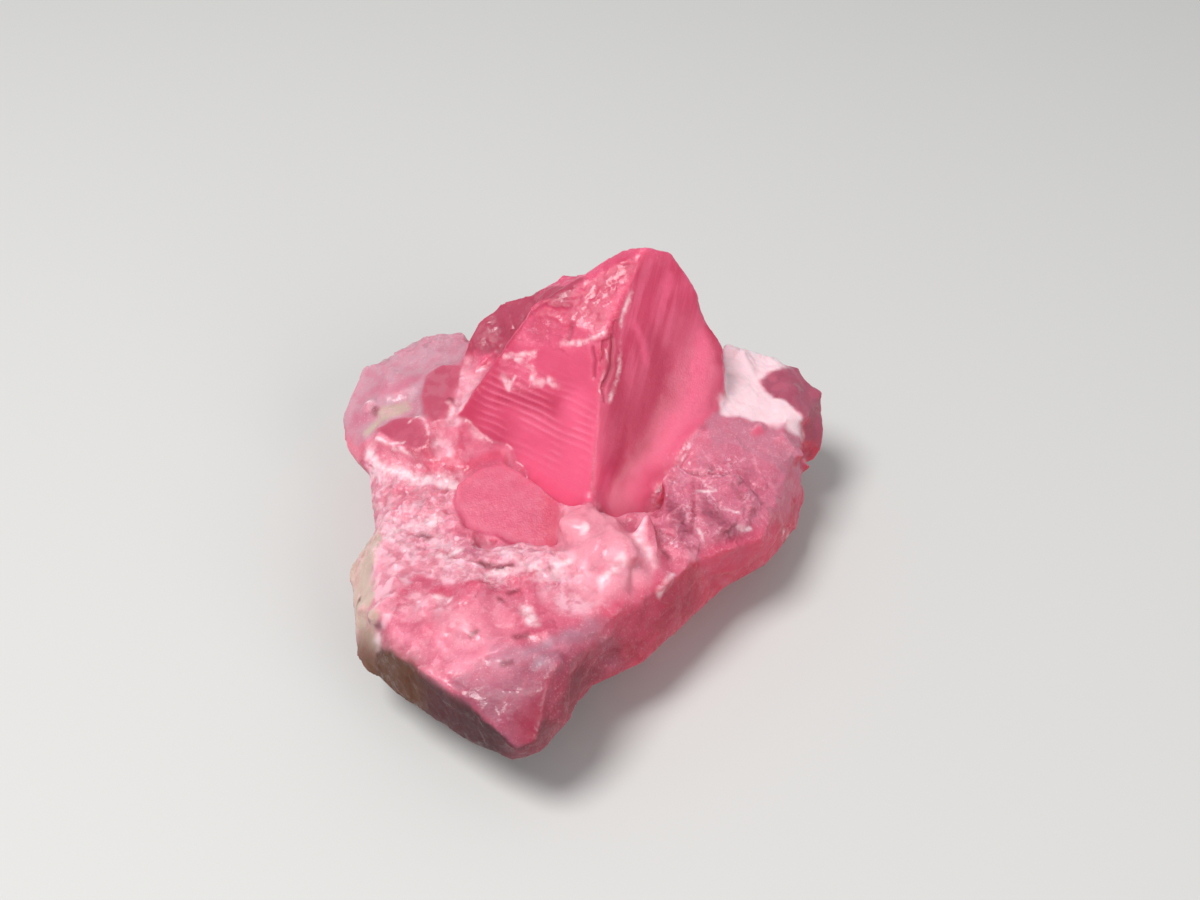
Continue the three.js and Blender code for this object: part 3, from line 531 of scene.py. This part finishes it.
def hashed(cells, seed):
    """Three random numbers from 0 to 1 for each cell of a lattice, always the same for a seed."""
    mixed = np.full(len(cells), seed * 2654435761 % 2**32, np.uint32)
    for column, factor in zip(cells.astype(np.uint32).T, (73856093, 19349663, 83492791)):
        mixed ^= column * np.uint32(factor)
    found = []
    for _ in range(3):
        mixed = (mixed ^ (mixed >> np.uint32(15))) * np.uint32(2246822519)
        mixed = (mixed ^ (mixed >> np.uint32(13))) * np.uint32(3266489917)
        mixed = mixed ^ (mixed >> np.uint32(16))
        found.append(mixed / 2.0**32)
    return np.stack(found, axis=1)


def noise(points, size, seed):
    """Smooth random lumps of the given size, from about -1 to 1."""
    spot = points / size
    cell = np.floor(spot).astype(np.int64)
    part = spot - cell
    fade = part**3 * (part * (part * 6 - 15) + 10)
    total = np.zeros(len(points))
    for corner in itertools.product((0, 1), repeat=3):
        corner = np.array(corner)
        slope = hashed(cell + corner, seed) * 2 - 1
        weight = np.where(corner == 1, fade, 1 - fade).prod(axis=1)
        total += weight * ((part - corner) * slope).sum(axis=1)
    return total * 1.6


def layered(points, size, seed, layers=3):
    """Noise with finer noise on it, each layer half as large and half as strong."""
    return sum(noise(points, size / 2**i, seed + i) / 2**i for i in range(layers))


def shaken(points, size, reach, seed):
    """The points moved by noise, so that what is drawn around them gets a ragged outline."""
    moves = [noise(points, size, seed + axis) for axis in range(3)]
    return points + reach * np.stack(moves, axis=1)


def grains(points, size, seed):
    """The centre and the random numbers of the nearest random grain."""
    spot = points / size
    home = np.floor(spot).astype(np.int64)
    nearest = np.full(len(points), np.inf)
    centre = np.zeros_like(points)
    chance = np.zeros_like(points)
    for step in itertools.product((-1, 0, 1), repeat=3):
        cell = home + np.array(step)
        drawn = hashed(cell, seed)
        middle = cell + drawn
        distance = np.linalg.norm(spot - middle, axis=1)
        closer = distance < nearest
        nearest = np.where(closer, distance, nearest)
        centre[closer] = middle[closer] * size
        chance[closer] = drawn[closer]
    return centre, chance


def gap_to(points, start, end):
    """How far each point is from the straight line between two places."""
    along = end - start
    share = np.clip((points - start) @ along / (along @ along), 0, 1)
    return np.linalg.norm(points - start - share[:, None] * along, axis=1)


def near(line, points, width):
    """1 on a line through some places, 0 at its width and beyond."""
    line = np.array(line, float) * FLATTENED
    points = points * FLATTENED
    close = ((points > line.min(axis=0) - width) & (points < line.max(axis=0) + width)).all(axis=1)
    points = points[close]
    best = np.full(len(points), np.inf)
    for start, end in zip(line[:-1], line[1:]):
        best = np.minimum(best, gap_to(points, start, end))
    found = np.zeros(len(close))
    found[close] = 1 - smoothstep(best, 0, width)
    return found


def strokes(lines, points):
    """1 on any of some lines, 0 off them."""
    return np.max([near(line, points, width) for width, line in lines], axis=0)


def within(outline, points, soft):
    """1 inside an outline seen from straight above, 0 outside, with an edge of the soft width."""
    corners = np.array(outline, float)
    flat = points[:, :2]
    close = ((flat > corners.min(axis=0) - soft) & (flat < corners.max(axis=0) + soft)).all(axis=1)
    flat = flat[close]
    gap = np.full(len(flat), np.inf)
    crossed = np.zeros(len(flat), bool)
    for start, end in zip(corners, np.roll(corners, -1, axis=0)):
        gap = np.minimum(gap, gap_to(flat, start, end))
        along = end - start
        spans = (start[1] > flat[:, 1]) != (end[1] > flat[:, 1])
        rise = along[1] if along[1] else 1e-9
        crossed ^= spans & (flat[:, 0] < start[0] + along[0] * (flat[:, 1] - start[1]) / rise)
    found = np.zeros(len(close))
    found[close] = smoothstep(np.where(crossed, gap, -gap), -soft / 2, soft / 2)
    return found


def within_any(outlines, points, soft):
    """1 inside any of some outlines, 0 outside them."""
    return np.max([within(outline, points, soft) for outline in outlines], axis=0)


def rows(items, name, width, kind):
    """What a mesh keeps under a name for its items, one row for each of them."""
    flat = np.empty(len(items) * width, kind)
    items.foreach_get(name, flat)
    return flat.reshape(-1, width)


class Skin:
    """The skin's points, with the edges and faces that smoothing and normals need."""

    def __init__(self, mesh, shift):
        self.points = rows(mesh.vertices, "co", 3, np.float32).astype(float) - shift
        self.edges = rows(mesh.edges, "vertices", 2, np.int32)
        self.faces = rows(mesh.loops, "vertex_index", 1, np.int32).reshape(-1, 4)
        self.count = len(self.points)
        self.neighbours = np.bincount(self.edges.ravel(), minlength=self.count)

    def gathered(self, values):
        """The mean of each point's neighbours."""
        a, b = self.edges.T
        columns = values.reshape(self.count, -1).T
        sums = [
            np.bincount(a, column[b], self.count) + np.bincount(b, column[a], self.count)
            for column in columns
        ]
        return (np.stack(sums, axis=1) / self.neighbours[:, None]).reshape(values.shape)

    def spread(self, values, times):
        """The values smoothed over the skin."""
        for _ in range(times):
            values = (values + self.gathered(values)) / 2
        return values

    def smooth(self, share, times):
        """Moves each point half way towards its neighbours, or a share of that."""
        share = np.broadcast_to(share, self.count)
        moving = share[self.edges].max(axis=1) > 0
        a, b = self.edges[moving].T
        part = (share / 2 / self.neighbours)[:, None]
        for _ in range(times):
            apart = self.points[b] - self.points[a]
            pull = np.stack(
                [
                    np.bincount(a, gap, self.count) - np.bincount(b, gap, self.count)
                    for gap in apart.T
                ],
                axis=1,
            )
            self.points = self.points + part * pull

    def normals(self):
        corners = self.points[self.faces]
        across = np.cross(corners[:, 2] - corners[:, 0], corners[:, 3] - corners[:, 1])
        total = np.zeros((self.count, 3))
        for corner in range(4):
            for axis in range(3):
                total[:, axis] += np.bincount(
                    self.faces[:, corner], across[:, axis], self.count
                )
        return unit(total)

    def push(self, height):
        """Moves each point along its normal."""
        self.points = self.points + self.normals() * height[:, None]

    def bulge(self, times):
        """How far each point stands out of the smoothed skin around it."""
        return ((self.points - self.spread(self.points, times)) * self.normals()).sum(axis=1)


def add_block(builder, place, normal, depth, outline, shift):
    """Adds a closed block under an outline, from its slanting top down to a depth."""
    corners = []
    for x, y in outline:
        drop = ((x - place[0]) * normal[0] + (y - place[1]) * normal[1]) / normal[2]
        for level in (place[2] - drop, place[2] - drop - depth):
            corners.append(builder.verts.new(Vector((x, y, level)) + shift))
    bmesh.ops.convex_hull(builder, input=corners)


def skin_mesh(node, shift):
    """A fine mesh of even squares over a node and what closes its clefts, in millimetres."""
    builder = bmesh.new()
    builder.from_mesh(node.data)
    builder.transform(Matrix.Scale(1 / MM, 4))
    for place, normal, depth, outline in FILLS:
        add_block(builder, place, normal, depth, outline, Vector(shift))
    coarse = bpy.data.meshes.new("skin_source")
    builder.to_mesh(coarse)
    builder.free()
    holder = bpy.data.objects.new("skin_source", coarse)
    bpy.context.scene.collection.objects.link(holder)
    for voxel, swell in ((COARSE_GRID, CLOSED), (GRID, -CLOSED)):
        remesh = holder.modifiers.new("squares", "REMESH")
        remesh.mode = "VOXEL"
        remesh.voxel_size = voxel
        move = holder.modifiers.new("swell", "DISPLACE")
        move.mid_level = 0
        move.strength = swell
    view = bpy.context.evaluated_depsgraph_get()
    fine = bpy.data.meshes.new_from_object(holder.evaluated_get(view))
    bpy.data.objects.remove(holder)
    bpy.data.meshes.remove(coarse)
    return fine


def face_masks(skin, points, normals):
    """For each flat face, 1 on it and 0 off it."""
    found = {}
    for name, (place, facing, reach) in FACES.items():
        facing = unit(np.array(facing))
        offset = points - np.array(place)
        level = 1 - smoothstep(np.abs(offset @ facing), *OFF_FACE)
        aligned = smoothstep(normals @ facing, *ALIGNED)
        close = 1 - smoothstep(np.linalg.norm(offset, axis=1), reach * 0.85, reach * 1.1)
        found[name] = skin.spread(level * aligned * close, 2)
    return found


def cleaved(points, normals, size, seed):
    """How far each point is from the cleavage plane of its grain, along its normal."""
    centre, chance = grains(points, size, seed)
    fit = normals @ unit(CLEAVAGES).T + 0.9 * chance
    plane = unit(CLEAVAGES)[fit.argmax(axis=1)]
    tilt = plane + 0.3 * (chance - 0.5)
    gap = ((centre - points) * unit(tilt)).sum(axis=1)
    return np.clip(gap, -size / 2, size / 2)


def roughness_of_rubble(points, normals):
    """How coarse the broken surface is at each point."""
    rough = np.full(len(points), ROUGH_ELSEWHERE)
    for amount, outline in ROUGH_ZONES:
        share = within(outline, points, ROUGH_EDGE) * smoothstep(normals[:, 2], 0.1, 0.5)
        rough += (amount - ROUGH_ELSEWHERE) * share
    behind = smoothstep(points[:, 1], *BEHIND) * (points[:, 2] < LOBES_BELOW)
    return np.maximum(rough, ROUGH_BEHIND * behind)


def flatten_facets(skin, start):
    """Levels the flat faces in the mass; for each, 1 on it and 0 off it."""
    found = {}
    for name, (place, normal, lowered, raised, outline) in FACETS.items():
        offset = start - np.array(place)
        rise = -(offset @ np.array(normal)) / normal[2]
        share = within(outline, start, FACET_EDGE) * smoothstep(start[:, 2], *ABOVE_UNDERCUT)
        share *= 1 - smoothstep(-rise, 0.6 * lowered, lowered)
        share *= 1 - smoothstep(rise, 0.9 * raised, raised)
        skin.points[:, 2] += share * rise
        found[name] = share
    return found


def swellings(start):
    """How far each point rises on the rounded lumps."""
    rises = []
    for top, radius, height in LUMPS:
        share = np.linalg.norm(start - np.array(top), axis=1) / radius
        rises.append(height * np.clip(1 - share**2, 0, 1) ** 1.3)
    return np.max(rises, axis=0)


def carve(skin, start, facing, faces):
    """Breaks the rubble along the cleavage and gives the flat faces their growth marks."""
    facets = flatten_facets(skin, start)
    clean = np.clip(sum(faces.values()), 0, 1)
    ragged = shaken(start, 0.5, 0.12, 91)
    spalls = within_any(SPALLS, ragged, SPALL_EDGE)
    chips = np.maximum(strokes(CHIPS, ragged), spalls * (start[:, 2] > LOBES_BELOW)) * clean
    clean = np.maximum(clean - chips, np.max(list(facets.values()), axis=0))
    broken = 1 - clean
    skin.smooth(broken, 6)
    skin.smooth(smoothstep(strokes(ROUNDED, start), 0, 0.5), ROUNDING_STEPS)
    skin.smooth(within_any(WORN, start, WORN_EDGE) * broken, WEARING_STEPS)
    slit = skin.spread(smoothstep(-skin.bulge(16), *SLIT) * (start[:, 2] > FOOT_BAND), 4)
    skin.smooth(smoothstep(slit, 0, 0.4) * broken, CLOSING_STEPS)
    calm = 1 - smoothstep(np.abs(skin.bulge(12)), *UNEVEN)
    rough = broken * roughness_of_rubble(start, facing) * (0.3 + 0.7 * calm)
    skin.push(swellings(start))
    skin.push(rough * ROLLING[0] * layered(start, ROLLING[1], 11))
    skin.push(rough * BLOCKS[0] * cleaved(skin.points, skin.normals(), BLOCKS[1], BLOCK_SEED))
    skin.push(rough * FLAKES[0] * cleaved(skin.points, skin.normals(), FLAKES[1], 31))
    skin.push(rough * CRUMBS[0] * layered(start, CRUMBS[1], 41, 2))
    skin.push(clean * FACE_WAVES[0] * layered(start, FACE_WAVES[1], 51, 3))
    skin.smooth(smoothstep(np.abs(skin.bulge(2)), *SPIKY) * broken, 3)
    striae = stripe_faces(skin, start, faces)
    # The fine grooves: cut in here, and darkened with painted shade by the material
    shaded_groove = strokes(GROOVES, shaken(start, 0.6, 0.08, 95))
    skin.push(-GROOVE_DEPTH * shaded_groove)
    lying = start[:, 2] < FOOT_BAND
    skin.points[lying, 2] = 0
    skin.points[:, 2] = np.maximum(skin.points[:, 2], 0)
    return {"clean": clean, "rubble": rough, "striae": striae, "shaded_groove": shaded_groove, **facets}


def stripe_faces(skin, start, faces):
    """Curved striations on the left face and fine streaks on the right one; where the first are."""
    bent = shaken(start, 1.5, 0.14, 61)
    turns = bent @ unit(np.array(ACROSS_STRIAE)) / STRIATION
    wave = np.sin(turns * 2 * math.pi + 0.6 * noise(start, 1.2, 65))
    zone = near(STRIATED, start, STRIATED_WIDTH)
    patchy = smoothstep(noise(start, 1.0, 63), -0.5, 0.2)
    share = faces["left"] * zone * patchy
    skin.push(share * STRIA_HEIGHT * wave)
    row = bent @ unit(np.array(ACROSS_STREAKS))
    streak = noise(np.stack([row, 0 * row, 0 * row], axis=1), STREAKS[1], 67)
    skin.push(faces["right"] * STREAKS[0] * streak)
    return share * smoothstep(wave, 0.3, 1.0)


def marks(start, faces, carved, skin):
    """What the material reads: for each kind of surface, 1 where it is and 0 where it isn't."""
    ragged = shaken(shaken(start, 0.8, 0.16, 71), 0.25, 0.07, 75)
    facing = unit(skin.spread(skin.normals(), 8))
    upward = smoothstep(facing[:, 2], -0.05, 0.3)
    fine = shaken(start, 0.3, 0.05, 83)
    nowhere = np.zeros(len(start))
    found = {name: carved[name] for name in CARVED_MARKS}
    for name, outlines in OUTLINES.items():
        found[name] = within_any(outlines, ragged, PAINT_EDGE) * upward
    for name, lines in STROKES.items():
        shares = [found.get(name, nowhere)]
        for width, line in lines:
            shares.append(near(line, fine if width < FINE_STROKE else ragged, width))
        found[name] = np.max(shares, axis=0)
    found["white_veins_and_highlights"] *= smoothstep(noise(start, 0.5, 81), -0.9, 0.2)
    found["back"] *= start[:, 2] > LOBES_BELOW
    grown = [faces["left"], faces["right"], faces["ledge"], carved["foot"], carved["heel"]]
    crystal = np.max(grown, axis=0)
    higher = smoothstep(start[:, 2], LOBES_BELOW - 0.4, LOBES_BELOW + 0.3)
    found["crystal"] = np.maximum(crystal, higher)
    found["right"] = faces["right"]
    found["soft"] = np.maximum(faces["ledge"], carved["foot"])
    found["window"] = np.maximum(carved["long"], carved["triangle"])
    # Steep sides, picked out by how little their normals rise: they get deep red colour with
    # painted shade over it
    side = (1 - smoothstep(facing[:, 2], *SIDE_SLOPE)) * (1 - found["crystal"])
    rightward = smoothstep(start[:, :2] @ RIGHT_LINE, *RIGHTWARD)
    found["flank"] = side * rightward
    # The front left side below the crest: its own dark red, with painted shade over it
    lower = 1 - smoothstep(start[:, 2], *SHADE_TOP)
    forward = 1 - smoothstep(start[:, 1], *FORWARD)
    found["shade"] = side * (1 - rightward) * lower * forward * (1 - found["cream"])
    found["tone"] = grains(start, BLOCKS[1], BLOCK_SEED)[1][:, 0]
    found["edge"] = skin.spread(skin.bulge(3), 1) / EDGE_HEIGHT
    # Painted shade in the hollows: the deeper a point lies below the skin around it, the darker
    found["pit_shade"] = -skin.spread(skin.bulge(8), 2) / PIT_SHADE_DEPTH
    return found


def put(mesh, name, values):
    """Keeps one number for each point of a mesh under a name."""
    kept = mesh.attributes.new(name, "FLOAT", "POINT")
    kept.data.foreach_set("value", np.clip(values, 0, 1).astype(np.float32))


def thinned(piece, firmness):
    """Gives the piece a mesh with fewer triangles, least thinned where it is firm."""
    group = piece.vertex_groups.new(name="firmness")
    levels = np.round(np.clip(firmness, 0, 1) * 8) / 8
    for level in np.unique(levels):
        group.add(np.nonzero(levels == level)[0].tolist(), 1 - level, "REPLACE")
    decimate = piece.modifiers.new("thin", "DECIMATE")
    decimate.ratio = TRIANGLES / (2 * len(piece.data.polygons))
    decimate.vertex_group = group.name
    view = bpy.context.evaluated_depsgraph_get()
    mesh = bpy.data.meshes.new_from_object(piece.evaluated_get(view))
    piece.modifiers.clear()
    piece.vertex_groups.clear()
    piece.data = mesh


def specimen():
    """The dressed specimen, and how far the frame's origin is from that of the places above."""
    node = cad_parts[NODE]
    corners = np.array([vertex.co for vertex in node.data.vertices]) / MM
    shift = corners[corners[:, 2].argmax()] - np.array(TIP)
    mesh = skin_mesh(node, shift)
    skin = Skin(mesh, shift)
    skin.smooth(1, 2)
    start = skin.points
    facing = skin.normals()
    faces = face_masks(skin, start, facing)
    carved = carve(skin, start, facing, faces)
    low, high = (np.array(corner) / MM for corner in cad_box)
    low[:2] += SIDE_BAND
    high -= SIDE_BAND
    placed = np.clip(skin.points + shift, low, high) * MM
    mesh.vertices.foreach_set("co", placed.astype(np.float32).ravel())
    mesh.materials.clear()
    for name, values in marks(start, faces, carved, skin).items():
        put(mesh, name, values)
    piece = bpy.data.objects.new("rhodochrosite_surface", mesh)
    bpy.context.scene.collection.objects.link(piece)
    seen = smoothstep(facing[:, 2], -0.4, 0.2)
    thinned(piece, np.maximum(0.5 * seen, 0.8 * carved["clean"]))
    piece.data.shade_smooth()
    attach(piece, "root")
    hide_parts(NODE)
    return piece, shift


class Recipe:
    """A material being made: most calls add nodes and give what comes out of the last one."""

    def __init__(self, name):
        self.material = bpy.data.materials.new(name)
        self.material.use_nodes = True
        self.tree = self.material.node_tree
        self.shader = self.tree.nodes["Principled BSDF"]
        place = self.node("TexCoord").outputs["Object"]
        self.place = self.vector("SCALE", place, scale=1 / MM)

    def feed(self, socket, value):
        if isinstance(value, bpy.types.NodeSocket):
            self.tree.links.new(value, socket)
        else:
            socket.default_value = value

    def fill(self, node, **values):
        """Sets a node's inputs, named with _ for each space."""
        for name, value in values.items():
            self.feed(node.inputs[name.replace("_", " ")], value)

    def node(self, kind, **values):
        node = self.tree.nodes.new("ShaderNode" + kind)
        self.fill(node, **values)
        return node

    def mark(self, name):
        node = self.node("Attribute")
        node.attribute_name = name
        return node.outputs["Fac"]

    def math(self, operation, a, b=0.0):
        node = self.node("Math")
        node.operation = operation
        self.feed(node.inputs[0], a)
        self.feed(node.inputs[1], b)
        return node.outputs[0]

    def times(self, a, b):
        return self.math("MULTIPLY", a, b)

    def vector(self, operation, a, b=(0, 0, 0), scale=1.0):
        node = self.node("VectorMath")
        node.operation = operation
        self.feed(node.inputs[0], a)
        if operation == "SCALE":
            self.feed(node.inputs["Scale"], scale)
        else:
            self.feed(node.inputs[1], b)
        return node.outputs["Value" if operation == "DOT_PRODUCT" else "Vector"]

    def noise(self, size, detail=2.0, place=None, output="Fac"):
        place = place or self.place
        return self.node("TexNoise", Vector=place, Scale=1 / size, Detail=detail).outputs[output]

    def drawn_out(self, direction, stretch):
        """The place shortened in one direction, so that what is drawn from it is long that way."""
        along = self.vector("DOT_PRODUCT", self.place, direction)
        back = self.vector("SCALE", direction, scale=self.times(along, 1 / stretch - 1))
        return self.vector("ADD", self.place, back)

    def hairs(self, size, width):
        """1 on fine wandering lines, 0 between them."""
        gap = self.math("ABSOLUTE", self.math("SUBTRACT", self.noise(size, 2), 0.5))
        return self.step(gap, 0.0, width, 1.0, 0.0)

    def flakes(self, size, share):
        """1 on a share of small angular patches, 0 on the others."""
        shake = self.vector("SUBTRACT", self.noise(size * 2, 2, output="Color"), (0.5, 0.5, 0.5))
        bent = self.vector("ADD", self.place, self.vector("SCALE", shake, scale=size * 1.6))
        cells = self.node("TexVoronoi", Vector=bent, Scale=1 / size)
        chance = self.vector("DOT_PRODUCT", cells.outputs["Color"], (1, 0, 0))
        return self.step(chance, 1 - share - 0.04, 1 - share + 0.04)

    def step(self, value, low, high, start=0.0, end=1.0):
        """start up to low and end from high, with a smooth turn between."""
        node = self.node(
            "MapRange", Value=value, From_Min=low, From_Max=high, To_Min=start, To_Max=end
        )
        node.interpolation_type = "SMOOTHSTEP"
        return node.outputs["Result"]

    def mix(self, first, second, share):
        node = self.node("Mix")
        node.data_type = "RGBA"
        self.feed(node.inputs["Factor"], share)
        self.feed(node.inputs[6], first)
        self.feed(node.inputs[7], second)
        return node.outputs[2]

    def tint(self, body, tone, name, share):
        """The body's colour with a share of a tone laid over it, where a mark is."""
        return self.mix(body, colour(*tone), self.times(self.mark(name), share))

    def facets(self, size):
        """The height of small flat facets, each tilted its own way."""
        cells = self.node("TexVoronoi", Vector=self.place, Scale=1 / size)
        tilt = self.vector("SUBTRACT", cells.outputs["Color"], (0.5, 0.5, 0.5))
        offset = self.vector("SUBTRACT", self.place, cells.outputs["Position"])
        return self.vector("DOT_PRODUCT", offset, tilt)

    def bump(self, height, strength, normal=None):
        """The shading of a height in millimetres."""
        node = self.node("Bump", Strength=strength, Distance=MM, Height=height)
        if normal:
            self.feed(node.inputs["Normal"], normal)
        return node.outputs["Normal"]


def colour(red, green, blue):
    """A colour given as it shows on a screen, from 0 to 255, as light."""
    shares = [channel / 255 for channel in (red, green, blue)]
    return (*[s / 12.92 if s <= 0.04045 else ((s + 0.055) / 1.055) ** 2.4 for s in shares], 1)


def mass_colour(mix, cloud, mottle):
    """The colour of the broken mass, from pale granular ground to clear mauve, with painted shade
    over the deep red of its steep sides.
    """
    patchy = mix.step(mix.noise(0.45, 4), 0.38, 0.62)
    body = mix.mix(colour(214, 104, 130), colour(226, 142, 162), cloud)
    body = mix.mix(body, colour(196, 78, 108), mix.times(mottle, 0.6))
    deep = mix.step(mix.mark("tone"), 0.55, 0.9, 0.0, 0.5)
    body = mix.mix(body, colour(190, 68, 100), deep)
    pale = mix.times(mix.mark("pale"), mix.step(patchy, 0.0, 1.0, 0.35, 1.0))
    body = mix.mix(body, colour(240, 188, 200), mix.times(pale, 0.85))
    for name, tone, share in TINTS:
        body = mix.tint(body, tone, name, mix.step(mottle, 0.0, 1.0, share, share * 0.7))
    # Painted shade: near black-red over the front left side
    return mix.tint(body, (60, 8, 12), "shade", 0.95)


def crystal_colour(mix, cloud):
    """The colour of the clear crystal, streaked down its right face and soft on its ledge, with a
    painted glow and painted highlights.
    """
    body = mix.mix(colour(224, 90, 126), colour(214, 78, 114), cloud)
    streaks = mix.noise(0.32, 3, mix.drawn_out(DOWN_THE_RIGHT_FACE, 9))
    right = mix.mark("right")
    dark = mix.times(mix.step(streaks, 0.44, 0.6), right)
    light = mix.times(mix.step(streaks, 0.5, 0.34), right)
    body = mix.mix(body, colour(202, 48, 88), mix.times(dark, 0.6))
    body = mix.mix(body, colour(232, 108, 140), mix.times(light, 0.5))
    body = mix.tint(body, (216, 100, 128), "soft", 0.7)
    body = mix.tint(body, (186, 42, 80), "deep", 0.7)
    # Painted light: the glow and highlights laid over the crystal's colour
    body = mix.tint(body, (238, 102, 140), "painted_glow", 0.75)
    return mix.tint(body, (238, 132, 162), "striae", 0.5)


def unveiled(mix):
    """0 where veils, pale rims and dust may lie, up to 1 where the surface is bare of them."""
    bare = mix.mark("shade")
    for name, share in (("back", 1.0), ("flank", 0.6), ("deep", 0.8), ("dusk", 0.8)):
        bare = mix.math("MAXIMUM", bare, mix.times(mix.mark(name), share))
    return bare


def veiled(mix, body, grain):
    """The body's colour under frost, fine veils, pale rims and dust, with painted shade in its
    pits, grooves and holes.
    """
    rubble = mix.mark("rubble")
    lit = mix.math("SUBTRACT", 1.0, unveiled(mix))
    veil = mix.math("MAXIMUM", mix.hairs(0.5, 0.016), mix.step(mix.noise(0.16, 3), 0.52, 0.66))
    veil = mix.times(veil, mix.step(mix.noise(0.8, 2), 0.44, 0.62))
    frosted = mix.times(mix.mark("frost"), mix.step(veil, 0.0, 1.0, 0.08, 0.5))
    body = mix.mix(body, colour(240, 170, 188), frosted)
    sparse = mix.times(veil, mix.step(rubble, 0.1, 0.7, 0.0, 0.5))
    body = mix.mix(body, colour(246, 204, 212), mix.times(sparse, lit))
    rims = mix.times(mix.mark("edge"), mix.step(grain, 0.3, 0.6, 0.0, 0.4))
    body = mix.mix(body, colour(246, 206, 212), mix.times(rims, lit))
    for name, tone, share in HOLLOWS:
        body = mix.tint(body, tone, name, share)
    speck = mix.times(mix.step(grain, 0.6, 0.72), broken_share(mix))
    dust = mix.times(speck, mix.times(lit, 0.14))
    return mix.mix(body, colour(252, 228, 230), dust)


def broken_share(mix):
    """1 on the broken mass, 0 on the clean faces."""
    return mix.math("SUBTRACT", 1.0, mix.mark("clean"))


def topped(mix, body):
    """The colour with what lies over everything else: chalk, white lines with a few painted
    highlights among them, and rust.
    """
    body = mix.tint(body, (240, 208, 214), "chalk", 0.95)
    ragged = mix.step(mix.noise(0.3, 3), 0.3, 0.6, 0.25, 1.0)
    # White veins and lines, and the painted highlights on the lumps
    white = mix.times(mix.mark("white_veins_and_highlights"), ragged)
    body = mix.mix(body, colour(252, 226, 230), mix.times(white, 0.85))
    return mix.tint(body, (92, 46, 14), "rust", 0.94)


def dullness(mix):
    """The roughness: glassy on faces and on some flakes, dull where it is broken or chalky."""
    broken = broken_share(mix)
    glassy = mix.times(mix.flakes(0.3, 0.35), broken)
    gloss = mix.step(broken, 0.0, 1.0, 0.36, 0.5)
    gloss = mix.math("SUBTRACT", gloss, mix.times(glassy, 0.2))
    dull = mix.math("MAXIMUM", mix.mark("chalk"), mix.mark("cream"))
    return mix.math("ADD", gloss, mix.times(dull, 0.25))


def fine_relief(mix, grain):
    """The shading of facets and grains that are finer than the skin's own points."""
    rubble = mix.mark("rubble")
    relief = mix.bump(mix.facets(0.34), mix.step(rubble, 0.0, 0.8, 0.0, 0.6))
    relief = mix.bump(mix.facets(0.13), mix.step(rubble, 0.0, 0.8, 0.06, 0.5), relief)
    return mix.bump(mix.times(grain, 0.02), 0.35, relief)


def rhodochrosite():
    """Translucent pink mineral: raspberry where it is clear, pale and granular where broken."""
    mix = Recipe("rhodochrosite")
    cloud = mix.step(mix.noise(2.2, 3), 0.35, 0.65)
    mottle = mix.step(mix.noise(0.5, 3), 0.42, 0.66)
    grain = mix.noise(0.07, 1)
    body = mix.mix(mass_colour(mix, cloud, mottle), crystal_colour(mix, cloud), mix.mark("crystal"))
    body = mix.tint(body, (170, 62, 88), "back", 0.9)
    mix.fill(
        mix.shader,
        Base_Color=topped(mix, veiled(mix, body, grain)),
        Roughness=dullness(mix),
        IOR=1.65,
        Specular_IOR_Level=0.35,
        Subsurface_Weight=0.85,
        Subsurface_Radius=SCATTERING,
        Subsurface_Scale=DEPTH_OF_LIGHT * MM,
        Normal=fine_relief(mix, grain),
    )
    return mix.material


def plain_material(name, base):
    material = bpy.data.materials.new(name)
    material.use_nodes = True
    shader = material.node_tree.nodes["Principled BSDF"]
    shader.inputs["Base Color"].default_value = (*base, 1)
    shader.inputs["Roughness"].default_value = 0.6
    return material


def stage_floor():
    side = FLOOR_REACH
    mesh = bpy.data.meshes.new("floor")
    corners = [(-side, -side, 0), (side, -side, 0), (side, side, 0), (-side, side, 0)]
    mesh.from_pydata(corners, [], [(0, 1, 2, 3)])
    floor = bpy.data.objects.new("floor", mesh)
    bpy.context.scene.collection.objects.link(floor)
    mesh.materials.append(plain_material("floor", FLOOR_COLOUR))


def area_light(name, place, target, size, power):
    light = bpy.data.lights.new(name, "AREA")
    light.shape = "DISK"
    light.size = size
    light.energy = power
    lamp = bpy.data.objects.new(name, light)
    lamp.location = place
    lamp.rotation_euler = (Vector(target) - Vector(place)).to_track_quat("-Z", "Y").to_euler()
    bpy.context.scene.collection.objects.link(lamp)


def stage_lights():
    world = bpy.data.worlds.new("studio")
    bpy.context.scene.world = world
    world.use_nodes = True
    sky = world.node_tree.nodes["Background"]
    sky.inputs["Color"].default_value = SKY_COLOUR
    sky.inputs["Strength"].default_value = SKY_STRENGTH
    for name, (place, size, power) in LAMPS.items():
        area_light(name, place, LAMPS_AIM, size, power)


def stage_camera(shift):
    data = bpy.data.cameras.new("camera")
    data.sensor_width = 36
    data.lens = CAMERA_LENS
    data.clip_start = 0.001
    camera = bpy.data.objects.new("camera", data)
    tip = (np.array(TIP) + shift) * MM
    camera.location = Vector(tip) + Vector(CAMERA_FROM_TIP) * MM
    camera.rotation_euler = (math.radians(CAMERA_TILT), 0, 0)
    bpy.context.scene.collection.objects.link(camera)
    bpy.context.scene.camera = camera


piece, shift = specimen()
piece.data.materials.append(rhodochrosite())
stage_floor()
stage_lights()
stage_camera(shift)
bpy.context.scene.view_settings.view_transform = "Standard"
